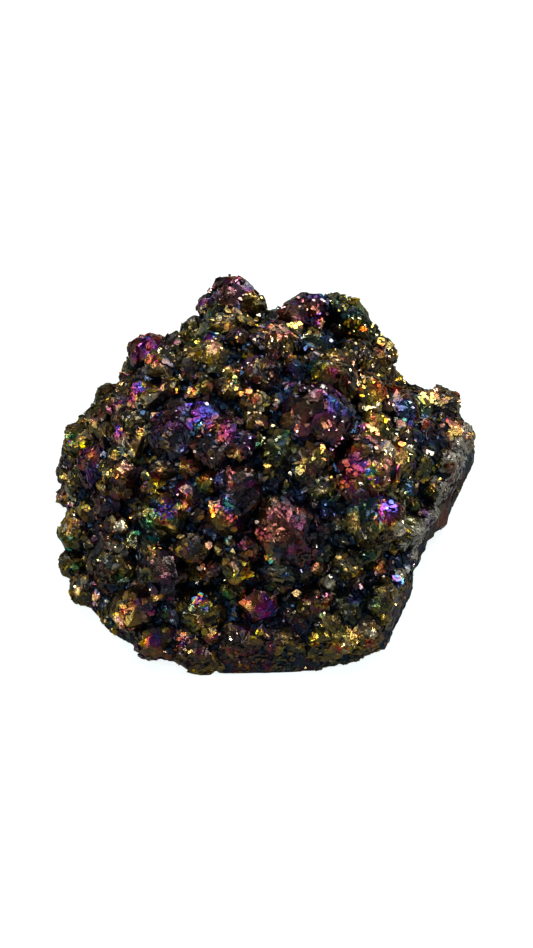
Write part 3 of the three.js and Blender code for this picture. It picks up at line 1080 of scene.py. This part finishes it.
# %% [markdown]
# A small crystal lies partly with its block and partly with the skin, and wobbles a little. On a
# patch that flashes, all of them take the patch's one direction. In the gaps and in the rind they
# follow the skin alone.

# %% How the small crystals lie
WOBBLE = {"smooth": 0.07, "grain": 0.12, "plate": 0.09, "fan": 0.09}
PARALLEL = 0.55
PATCH_WOBBLE = 0.06
PATCH_REACH = 1.1
GAP_WOBBLE = 0.24
RIND_WOBBLE = 0.09
SMALL_TURN = 0.3
number = len(kept)
small_points = points[kept]
small_owner = owner[kept]
small_gap = in_gap[kept]
small_rind = rind[kept]
loose = small_gap | small_rind
wobble = by_texture(WOBBLE)[small_owner][:, None]
wobble[small_gap] = GAP_WOBBLE
wobble[small_rind] = RIND_WOBBLE
small_ways = normals[kept]
small_axes = unit(block_axes[block] * PARALLEL + small_ways * (1 - PARALLEL))
small_axes = np.where(loose[:, None], small_ways, small_axes)
for spot, radius, way in patches:
    inside_patch = np.linalg.norm(small_points - spot, axis=1) < radius * PATCH_REACH
    small_axes[inside_patch] = way
    wobble[inside_patch] = PATCH_WOBBLE
small_axes = unit(small_axes + rng.normal(0, 1, (number, 3)) * wobble)
small_frames = frames_along(small_axes, axes[small_owner] + rng.normal(0, SMALL_TURN, (number, 3)))

# %% How large they are, and how far out they stand
WIDTHS = {"smooth": (0.8, 1.2), "grain": (0.75, 1.2), "plate": (1.4, 0.7), "fan": (0.5, 1.6)}
SIZE_SPREAD = 0.2
SIZE_LIMITS = (0.4, 1.35)
SIDE_RANGE = (0.75, 1.2)
GAP_SIZE = 0.75
RIND_SIZE = 1.1
BLOCK_FLATNESS = 0.65
LIFT_LIMITS = (-0.6, 0.4)
GROOVE_DEPTH = 0.30
MOST_PROUD = 0.16
GAP_PROUD = (0.05, 0.6)
LOW_BELOW = 2.5
LOW_PROUD = 0.4
small_size = (spacing[kept] * rng.lognormal(0, SIZE_SPREAD, number)).clip(*SIZE_LIMITS)
small_size[small_gap] *= GAP_SIZE
small_size[small_rind] *= RIND_SIZE
small_sizes = small_size[:, None] * rng.uniform(*SIDE_RANGE, (number, 3))
small_sizes[:, :2] *= by_texture(WIDTHS)[small_owner]
off_plane = ((points[block_seeds[block]] - small_points) * block_axes[block]).sum(axis=1)
lift = (off_plane * BLOCK_FLATNESS + block_heights[block]).clip(*LIFT_LIMITS)
proud = rng.uniform(0.0, MOST_PROUD, number) * small_size
proud[small_gap] += rng.uniform(*GAP_PROUD, small_gap.sum())
proud += np.where(loose, 0, lift - groove * GROOVE_DEPTH)
proud *= np.where(small_points[:, 2] < LOW_BELOW, LOW_PROUD, 1.0)
small_places = small_points + small_ways * proud[:, None]
print("proud of the skin:", proud.mean().round(2), "mm on average")

# %% Small crystals
POINTED_SHARE = {"smooth": 0.06, "grain": 0.14, "plate": 0.05, "fan": 0.0}
BRIGHT_SHARE = 0.05
SMALL_JITTER = 0.18
SMALL_DEPTHS = (0.02, 0.7)
is_pointed = rng.random(number) < by_texture(POINTED_SHARE)[small_owner]
is_bright = rng.random(number) < BRIGHT_SHARE
small_sets = []
for shape, chosen in (
        (pointed, is_pointed & ~is_bright), (shard, ~is_pointed & ~is_bright), (shard, is_bright)):
    corners = copies(
        shape, small_places[chosen], small_frames[chosen], small_sizes[chosen], SMALL_JITTER)
    corners = pushed_back(corners, own_depths(corners, *SMALL_DEPTHS))
    held = standing_out(corners) < MOST_STANDING_OUT
    small_sets.append((shape, corners[held], np.flatnonzero(chosen)[held]))
print("pointed, shards and bright ones:", [len(chosen) for shape, corners, chosen in small_sets])

# %% [markdown]
# ## The coating's colours
#
# The film is thin enough for light to interfere in it, and its thickness sets the colour, which
# runs through gold, orange, magenta, violet, blue, teal and green, and round again. Thickness
# changes slowly over a head, and it jumps from face to face, because the vapour met each face at
# its own angle. So every face corner gets a place in that run of colours, with how pure and how
# bright its colour is, in one colour attribute.

# %% Tints
TINTS = {
    # place in the run of colours, purity, brightness
    "gold": (0.99, 0.50, 1.25),
    "bronze": (0.03, 0.30, 1.00),
    "brown": (0.07, 0.22, 0.78),
    "umber": (0.10, 0.50, 0.30),
    "orange": (0.08, 0.52, 1.05),
    "copper": (0.11, 0.34, 0.90),
    "coral": (0.18, 0.60, 1.15),
    "maroon": (0.19, 0.60, 0.62),
    "magenta": (0.25, 0.55, 0.90),
    "plum": (0.22, 0.46, 0.60),
    "purple": (0.38, 0.60, 0.90),
    "violet": (0.43, 0.65, 1.20),
    "blue": (0.53, 0.60, 1.10),
    # navy is painted shade, laid as patches between the heads
    "navy": (0.54, 0.70, 0.42),
    "silver": (0.55, 0.10, 1.50),
    "white": (0.98, 0.08, 2.60),
    "pearl": (0.12, 0.30, 2.40),
    "rainbow": (0.38, 0.55, 1.10),
    "teal": (0.68, 0.28, 1.00),
    "green": (0.76, 0.30, 0.90),
    "olive": (0.92, 0.35, 0.95),
}
SLOPE = {"rainbow": 0.30}
USUAL_SLOPE = 0.14
slopes = np.array([SLOPE.get(head["tint"], USUAL_SLOPE) for head in heads])
tints = np.array([TINTS[head["tint"]] for head in heads])
slope_ways = unit(rng.normal(size=(count, 3)))
print("tints:", len(TINTS))

# %% [markdown]
# The patches are laid over the tint of their head. Their edges stray a little, so that none is
# round, and a slow band of neighbouring colours runs across each. Muted ones keep the purity of
# their tint, and pale ones let some of the grey stone through.

# %% Laying the patches
ACCENT_STRAY = 0.8
ACCENT_WAVE = 3.0
ACCENT_FACING = 0.05
ACCENT_REACH = 1.25
ACCENT_DEPTH = 4.0
ACCENT_PURITY = 0.85
ACCENT_TONE = 0.95
ACCENT_BANDS = unit(np.array([0.7, 0.5, 0.4]))
BAND_RISE = 0.14
DULL_PURITY = 0.25
MUTED = {"plum", "olive", "maroon", "navy", "umber"}
PALE = {"white": 0.8, "silver": 0.6, "pearl": 0.55, "gold": 0.18}


def with_accents(spots, spot_normals, phase, purity, tone, pale):
    """The coating with the patches on the display side laid over it."""
    across, up, near = in_display(spots)
    across = across + ACCENT_STRAY * drift(spots, ACCENT_WAVE, 41)
    up = up + ACCENT_STRAY * drift(spots, ACCENT_WAVE, 42)
    facing = spot_normals @ TOWARDS_VIEWER > ACCENT_FACING
    for (mid_across, mid_up, radius, tint), mid_near in zip(ACCENTS, accent_near):
        beside = np.hypot(across - mid_across, up - mid_up) / radius
        inside = facing & (beside < ACCENT_REACH) & (np.abs(near - mid_near) < ACCENT_DEPTH)
        if not inside.any():
            continue
        strength = (ACCENT_REACH - beside[inside]).clip(0, 0.5) * 2
        tint_phase, tint_purity, tint_tone = TINTS[tint]
        turn = (tint_phase - phase[inside] + 0.5) % 1 - 0.5
        bands = BAND_RISE * (spots[inside] - spots[inside].mean(axis=0)) @ ACCENT_BANDS / radius
        phase[inside] += (turn + bands) * strength
        muted = tint in MUTED or tint_purity < DULL_PURITY
        wanted_purity = tint_purity if muted else ACCENT_PURITY
        purity[inside] += (wanted_purity - purity[inside]) * strength
        wanted_tone = tint_tone if tint in PALE else tint_tone * ACCENT_TONE
        tone[inside] += (wanted_tone - tone[inside]) * strength
        pale[inside] = np.maximum(pale[inside], PALE.get(tint, 0) * strength)
    return phase, purity, tone, pale


# %% [markdown]
# The film's brightness has painted light and shade laid on it: painted shade darkens it over the
# middle of the display side, and painted light brightens it along the front edge and the crown.

# %% Painted light and shade over the display side
DARK_MIDDLE = (8, -6)
DARK_WIDTH = 22
MIDDLE_SHADE = 0.30
FRONT_PAINTED_LIGHT, FRONT_FROM, FRONT_FADE = 0.35, -22, 12
CROWN_PAINTED_LIGHT, CROWN_FROM, CROWN_FADE = 0.15, 36, 10


def painted_light_and_shade(spots):
    """Painted light and shade at each spot, as a factor on the film's brightness."""
    across, up, near = in_display(spots)
    from_middle = np.hypot(across - DARK_MIDDLE[0], up - DARK_MIDDLE[1]) / DARK_WIDTH
    front = ((FRONT_FROM - up) / FRONT_FADE).clip(0, 1)
    crown = ((up - CROWN_FROM) / CROWN_FADE).clip(0, 1)
    return (1 - MIDDLE_SHADE * np.exp(-from_middle ** 2)) * (
        1 + FRONT_PAINTED_LIGHT * front + CROWN_PAINTED_LIGHT * crown)


# %% The coating of a mesh
VAPOUR = unit(np.array([0.5, -0.3, 0.8]))
FACE_SHARE = 0.16
WIDE_DRIFT, WIDE_WAVE = 0.10, 6
FINE_DRIFT, FINE_WAVE = 0.05, 2.2
PURE_WAVE = 3.6
PURE_FROM, PURE_RISE = 0.2, 1.7
PURE_LEAST, PURE_MORE = 0.40, 2.0
# painted shade in the creases between heads: where it starts and is full, its brightness, tint,
# purity and core
CREASE_SHADE_RANGE = (0.40, -0.42)
CREASE_SHADE_TONE = 0.03
CREASE_SHADE_TINT = 0.54
CREASE_SHADE_PURITY = 0.45
CREASE_SHADE_CORE = 0.85
# brightness is stored at half, which keeps nearly all of it between 0 and 1
BRIGHTNESS_SCALE = 2.0


def coat_of(corners, faces, own_head, own_phase, own_purity, own_tone, own_rise, own_rind):
    """The coating at every face corner, for faces that each belong to a head."""
    flat = corners.reshape(-1, 3)
    ends = flat[faces]
    face_normals = np.cross(ends[:, 1] - ends[:, 0], ends[:, 2] - ends[:, 0])
    length = np.linalg.norm(face_normals, axis=1, keepdims=True)
    face_normals = face_normals / np.maximum(length, 1e-9)
    spots = ends.reshape(-1, 3)
    head_index = np.repeat(own_head, 3)
    local = (spots - places[head_index]) / radii[head_index][:, None]
    phase = tints[head_index, 0] + np.repeat(own_phase, 3)
    phase += slopes[head_index] * (local * slope_ways[head_index]).sum(axis=1)
    phase += WIDE_DRIFT * drift(spots, WIDE_WAVE, 31) + FINE_DRIFT * drift(spots, FINE_WAVE, 32)
    phase += FACE_SHARE * np.repeat((face_normals @ VAPOUR) ** 2 - 0.5, 3)
    purity = tints[head_index, 1] * np.repeat(own_purity, 3)
    patches_of_colour = ((drift(spots, PURE_WAVE, 33) - PURE_FROM) * PURE_RISE).clip(0, 1)
    purity *= PURE_LEAST + PURE_MORE * patches_of_colour
    # painted light and shade over the display side is multiplied into the brightness
    tone = tints[head_index, 2] * np.repeat(own_tone, 3) * painted_light_and_shade(spots)
    # painted shade: in the creases the coating is darkened, its purity set, and its deepest part
    # turned navy
    high, low = CREASE_SHADE_RANGE
    crease_shade = np.repeat(((own_rise - high) / (low - high)).clip(0, 1), 3)
    tone *= 1 + (CREASE_SHADE_TONE - 1) * crease_shade
    purity += (CREASE_SHADE_PURITY - purity) * crease_shade ** 2
    phase += (CREASE_SHADE_TINT - phase) * (crease_shade > CREASE_SHADE_CORE)
    pale = np.repeat(own_rind, 3) * 1.0
    phase, purity, tone, pale = with_accents(
        spots, np.repeat(face_normals, 3, 0), phase, purity, tone, pale)
    # whole turns come off a face at a time, so that no face runs round all the colours
    phase -= np.repeat(np.floor(phase[::3]), 3)
    return np.stack([phase, purity.clip(0, 1), tone / BRIGHTNESS_SCALE, pale], axis=1)


def crystal_coat(shape, corners, own_head, own_rise, own_rind, own_looks):
    """Faces and coating of many copies; looks are each copy's tint, purity and brightness."""
    each = len(shape[1])
    faces = tiled(shape, corners)
    phase, purity, tone = (np.repeat(look, each) for look in own_looks)
    coat = coat_of(
        corners, faces, np.repeat(own_head, each), phase, np.exp(purity), np.exp(tone),
        np.repeat(own_rise, each), np.repeat(own_rind, each))
    return faces, coat


# %% [markdown]
# ## Plates that catch the light
#
# Shards that lie parallel flash dimly together. The brightest flashes come from single flat faces,
# so copies of the tablet are set on the patches, and a few hundred smaller ones are scattered, each
# turned to mirror the panel that it nearly faces already. They're likelier towards the upper right,
# where more of the surface is turned to the brightest panels.

# %% Plates on the patches
PATCH_COVER = 0.9
PLATES_PER_AREA = 1.2
PATCH_TILT = 0.04
PATCH_RISES, PATCH_SIZES = (0.5, 0.95), (0.5, 1.1)
plate_places, plate_axes, plate_sizes = [], [], []


def add_plate(place, way, tilt, rises, sizes, share=1):
    """A plate over a point of the skin, turned nearly along a way."""
    axis = unit(way + rng.normal(0, tilt, 3))
    plate_axes.append(axis)
    plate_places.append(points[place] + axis * rng.uniform(*rises))
    plate_sizes.append(rng.uniform(*sizes) * share)


for spot, radius, way in patches:
    near = np.flatnonzero(np.linalg.norm(points - spot, axis=1) < radius * PATCH_COVER)
    number_of_plates = max(1, int(round(radius * radius * PLATES_PER_AREA)))
    for place in rng.choice(near, number_of_plates, replace=False):
        add_plate(place, way, PATCH_TILT, PATCH_RISES, PATCH_SIZES, min(1, radius))
print("plates on the patches:", len(plate_places))

# %% Scattered plates
SCATTERED_GLINTS = 380
GLINT_FACING = 0.3
GLINT_LOWEST = -0.1
GLINT_CHANCE, GLINT_SLOPE, GLINT_LIMITS = 0.6, 45, (0.25, 1.7)
GLINT_TILT = 0.02
GLINT_RISES, GLINT_SIZES = (0.3, 0.6), (0.25, 0.62)
CHOICE_SPREAD = 0.1
scattered = np.flatnonzero(
    (normals @ TOWARDS_VIEWER > GLINT_FACING) & (rise > GLINT_LOWEST) & ~rind)
glint_across, glint_up, _ = in_display(points[scattered])
chance = (GLINT_CHANCE + (glint_across + glint_up) / GLINT_SLOPE).clip(*GLINT_LIMITS)
for place in rng.choice(scattered, SCATTERED_GLINTS, replace=False, p=chance / chance.sum()):
    ways = mirror_ways(points[place])
    facing = max(
        ways, key=lambda name: ways[name] @ normals[place] + rng.normal(0, CHOICE_SPREAD))
    add_plate(place, ways[facing], GLINT_TILT, GLINT_RISES, GLINT_SIZES)

# %% The plates as copies of the tablet
PLATE_SIDES = (0.7, 1.3)
PLATE_JITTER = 0.16
PLATE_DEPTHS = (0.05, 0.3)
PLATES_MORE_OUT = 0.4
MOST_PALE = 0.4
plate_sizes = np.array(plate_sizes)[:, None] * rng.uniform(*PLATE_SIDES, (len(plate_sizes), 3))
plate_frames = frames_for(np.array(plate_axes), rng.uniform(0, np.pi, len(plate_axes)))
plate_corners = copies(tablet, np.array(plate_places), plate_frames, plate_sizes, PLATE_JITTER)
plate_corners = pushed_back(plate_corners, own_depths(plate_corners, *PLATE_DEPTHS))
held = standing_out(plate_corners) < MOST_STANDING_OUT + PLATES_MORE_OUT
plate_corners = plate_corners[held]
plate_head = nearest_heads(np.array(plate_places)[held])[0]
plate_pale = np.zeros(len(held))
plate_pale[-SCATTERED_GLINTS:] = rng.uniform(0, MOST_PALE, SCATTERED_GLINTS)
plate_pale = plate_pale[held]
print("plates:", len(plate_corners))

# %% [markdown]
# Now every mesh gets its coating. A look is three spreads, of tint, purity and brightness: blocks
#  differ strongly from each other, and the crystals within one only a little. The bare parts of a
#  dome keep their brightness; what shows of it between crystals is darkened as painted shade, and so
#  are the crystals beside the grooves between blocks.

# %% Coats
PLATE_LOOK = (0.02, 0.1, 0.15)
LARGE_LOOK = (0.03, 0.3, 0.2)
BLOCK_LOOK = (0.08, 0.70, 0.42)
SMALL_LOOK = (0.02, 0.30, 0.40)
DULLER = np.array([[0], [0], [0.20]])
# painted shade: the brightness of dome faces that show between crystals
CRACK_SHADE_TONE = 0.4
# painted shade: the brightness of crystals beside the grooves between blocks
GROOVE_SHADE_TONE = 0.55
RIND_SHARE = (0.4, 1.0)


def random_looks(number, spreads):
    """For each of the spreads, a random change for every copy."""
    return np.stack([rng.normal(0, spread, number) for spread in spreads])


plate_faces, plate_coat = crystal_coat(
    tablet, plate_corners, plate_head, np.ones(len(plate_head)), plate_pale,
    random_looks(len(plate_head), PLATE_LOOK))
dome_rise = skin_rise[nearest_skin(dome_corners)][dome_faces].mean(axis=1)
dome_middles = dome_corners[dome_faces].mean(axis=1)
# painted shade where the dome shows between crystals
dome_tone = np.where(is_bare(dome_middles, by_texture(BARE)[dome_head]), 1.0, CRACK_SHADE_TONE)
nothing = np.zeros(len(dome_faces))
dome_coat = coat_of(
    dome_corners, dome_faces, dome_head, nothing, nothing + 1, dome_tone, dome_rise, nothing)
large_rise = skin_rise[nearest_skin(large_corners[:, 0])]
large_faces, large_coat = crystal_coat(
    tablet, large_corners, large_head, large_rise, np.zeros(len(large_head)),
    random_looks(len(large_head), LARGE_LOOK) - DULLER)
block_looks = random_looks(len(block_seeds), BLOCK_LOOK)[:, block]
small_looks = block_looks + random_looks(number, SMALL_LOOK) - DULLER
# painted shade by the grooves between blocks
small_looks[2] += np.log(GROOVE_SHADE_TONE) * groove
small_pale = small_rind * rng.uniform(*RIND_SHARE, number)
small_coats = [
    crystal_coat(
        shape, corners, small_owner[chosen], rise[kept][chosen], small_pale[chosen],
        small_looks[:, chosen])
    for shape, corners, chosen in small_sets]
coats = [plate_coat, dome_coat, large_coat] + [coat for faces, coat in small_coats]
print("face corners with a coating:", sum(len(coat) for coat in coats))

# %% [markdown]
# ## Materials
#
# The film is a metal, so its colour is the colour of its reflections. The material reads the run of
#  colours at the place that the attribute gives, fades it to a dull bronze where the colour isn't
#  pure, and darkens it towards navy where the attribute's brightness is low: that navy is painted
#  shade, in the creases, the grooves and the cracks. Fine pits darken it in specks, and growth steps,
#  stretched along one direction, give the bump. The faces stay flat shaded: a smooth shaded crystal
#  looks like a pebble. Where the rind lies over the film, it's grey and less like metal.

# %% The run of colours
RUN_OF_COLOURS = [
    (0.00, (0.72, 0.44, 0.07)),
    (0.07, (0.60, 0.24, 0.04)),
    (0.14, (0.50, 0.10, 0.04)),
    (0.22, (0.34, 0.030, 0.055)),
    (0.29, (0.30, 0.018, 0.16)),
    (0.38, (0.16, 0.020, 0.27)),
    (0.47, (0.050, 0.035, 0.40)),
    (0.56, (0.015, 0.11, 0.38)),
    (0.66, (0.012, 0.21, 0.22)),
    (0.76, (0.045, 0.20, 0.06)),
    (0.86, (0.20, 0.22, 0.035)),
    (0.94, (0.50, 0.37, 0.05)),
    (1.00, (0.72, 0.44, 0.07)),
]


def add_ramp(tree, place, stops, interpolation="LINEAR"):
    """The colour at a place between 0 and 1, from (level, colour) stops."""
    node = tree.nodes.new("ShaderNodeValToRGB")
    tree.links.new(place, node.inputs["Fac"])
    ramp = node.color_ramp
    ramp.interpolation = interpolation
    ramp.elements.remove(ramp.elements[-1])
    for i, (level, colour) in enumerate(stops):
        element = ramp.elements[0] if i == 0 else ramp.elements.new(level)
        element.position = level
        element.color = (*colour, 1)
    return node.outputs["Color"]


def add_mix(tree, share, first, second, clamp_factor=True):
    """A colour between two, or beyond the second where the share isn't clamped."""
    return add_node(
        tree, "Mix", {"Factor": share, "A": first, "B": second}, data_type="RGBA",
        clamp_factor=clamp_factor)["Result"]


# %% Titanium film
BLACK = (0, 0, 0, 1)
DULL_BRONZE = (0.180, 0.140, 0.044, 1)
RIND_GREY = (0.48, 0.48, 0.44, 1)
# painted shade: the navy that low brightness fades to, in creases, grooves and cracks
PAINTED_SHADE_BLUE = (0.012, 0.032, 0.070, 1)
FILM_METAL, RIND_METAL = 0.95, 0.35
PIT_SCALE = 1500
WEAR_SCALE = 420
STEP_SCALE = 2200
STEP_STRETCH = (1.0, 1.0, 0.22)
STEP_HEIGHT = 0.0002


def film_material(name, least_rough, most_rough):
    """The coated crystals' material, with the roughness of its sleekest and dullest spots."""
    material, tree = new_material(name)
    coat = add_node(tree, "Attribute", attribute_name="coat")
    parts = add_node(tree, "SeparateColor", {"Color": coat["Color"]})
    turn = add_node(tree, "Math", {0: parts["Red"]}, operation="FRACT")
    run = add_ramp(tree, turn["Value"], RUN_OF_COLOURS, "EASE")
    pure = add_mix(tree, parts["Green"], DULL_BRONZE, run)
    tone = add_node(tree, "Math", {0: parts["Blue"], 1: BRIGHTNESS_SCALE}, operation="MULTIPLY")
    bright = add_mix(tree, tone["Value"], PAINTED_SHADE_BLUE, pure, clamp_factor=False)
    place = add_node(tree, "TexCoord")["Object"]
    pits = add_node(tree, "TexNoise", {
        "Vector": place, "Scale": PIT_SCALE, "Detail": 4, "Roughness": 0.7})
    pitted = add_node(tree, "MapRange", {
        "Value": pits["Fac"], "From Min": 0.36, "From Max": 0.60, "To Min": 0.50, "To Max": 1.27})
    mottled = add_mix(tree, pitted["Result"], BLACK, bright, clamp_factor=False)
    metal = add_node(tree, "MapRange", {
        "Value": coat["Alpha"], "To Min": FILM_METAL, "To Max": RIND_METAL})
    wear = add_node(tree, "TexNoise", {"Vector": place, "Scale": WEAR_SCALE})
    rough = add_node(tree, "MapRange", {
        "Value": wear["Fac"], "To Min": least_rough, "To Max": most_rough})
    stretch = add_node(tree, "Mapping", {"Vector": place, "Scale": STEP_STRETCH})
    steps = add_node(tree, "TexNoise", {
        "Vector": stretch["Vector"], "Scale": STEP_SCALE, "Detail": 3})
    bump = add_node(tree, "Bump", {
        "Height": steps["Fac"], "Strength": 0.35, "Distance": STEP_HEIGHT})
    wire(tree, tree.nodes["Principled BSDF"], {
        "Base Color": add_mix(tree, coat["Alpha"], mottled, RIND_GREY),
        "Metallic": metal["Result"], "Roughness": rough["Result"], "Normal": bump["Normal"]})
    print(name, "nodes:", len(tree.nodes))
    return material


film = film_material("titanium_film", 0.14, 0.34)
bright_film = film_material("bright_titanium_film", 0.08, 0.20)

# %% [markdown]
# The broken side took the film too, but thinly: navy, with stains of maroon and grey. Its near-black
#  navy is partly painted shade, for the shade that the break and the gaps between heads lie in. One
#  noise stains it, and a finer one gives both its roughness and its grain.

# %% Rock material
# stains of maroon and grey from the thin film, and near-black navy as painted shade
ROCK_STAINS_AND_SHADE = [
    (0.36, (0.004, 0.006, 0.010)), (0.46, (0.010, 0.026, 0.070)), (0.53, (0.026, 0.044, 0.075)),
    (0.60, (0.060, 0.012, 0.026)), (0.70, (0.075, 0.066, 0.052))]
rock_stains_and_shade, tree = new_material("coated_rock_and_painted_shade")
place = add_node(tree, "TexCoord")["Object"]
stains = add_node(tree, "TexNoise", {"Vector": place, "Scale": 170, "Detail": 5})
grain = add_node(tree, "TexNoise", {"Vector": place, "Scale": 900, "Detail": 3})
rough = add_node(tree, "MapRange", {"Value": grain["Fac"], "To Min": 0.34, "To Max": 0.62})
bump = add_node(tree, "Bump", {"Height": grain["Fac"], "Strength": 0.8, "Distance": 0.0004})
wire(tree, tree.nodes["Principled BSDF"], {
    "Base Color": add_ramp(tree, stains["Fac"], ROCK_STAINS_AND_SHADE), "Roughness": rough["Result"],
    "Metallic": 0.6, "Specular IOR Level": 0.15, "Normal": bump["Normal"]})
print("coated_rock_and_painted_shade nodes:", len(tree.nodes))

# %% [markdown]
# ## Pieces
#
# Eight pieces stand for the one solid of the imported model, and ride on its one body. The shards are
# split in two by the way round the cluster, so that each piece stays light.

# %% Pieces
SPLIT_MIDDLE = 5


def make_piece(name, corners, faces, material, coat=None):
    """A piece from arrays, with its coating, its finish and the body that it rides on."""
    data = fill_mesh(name, into_frame(corners.reshape(-1, 3)), faces)
    if coat is not None:
        attribute = data.color_attributes.new("coat", "FLOAT_COLOR", "CORNER")
        attribute.data.foreach_set("color", np.ascontiguousarray(coat, dtype=np.float32).ravel())
        data.shade_flat()
    data.materials.append(material)
    piece = add_object(name, data)
    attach(piece, "root")
    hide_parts("quartz_cluster")
    print(name, "triangles:", len(faces))


make_piece("rock", rock_corners, rock_faces, rock_stains_and_shade)
make_piece("head_domes", dome_corners, dome_faces, film, dome_coat)
make_piece("large_crystals", large_corners, large_faces, film, large_coat)
make_piece("flashing_plates", plate_corners, plate_faces, bright_film, plate_coat)
PIECES_OF_SET = [("pointed", 1, film), ("shard", 2, film), ("bright", 1, bright_film)]
for (shape, corners, chosen), (faces, coat), (name, pieces, finish) in zip(
        small_sets, small_coats, PIECES_OF_SET):
    middle = corners.mean(axis=1)
    turn_order = np.argsort(np.arctan2(middle[:, 1] + SPLIT_MIDDLE, middle[:, 0]))
    each = len(shape[1])
    for i, sector in enumerate(np.array_split(turn_order, pieces)):
        rows = (sector[:, None] * each * 3 + np.arange(each * 3)).ravel()
        make_piece(
            f"{name}_crystals_{i + 1}", corners[sector], tiled(shape, corners[sector]), finish,
            coat[rows])
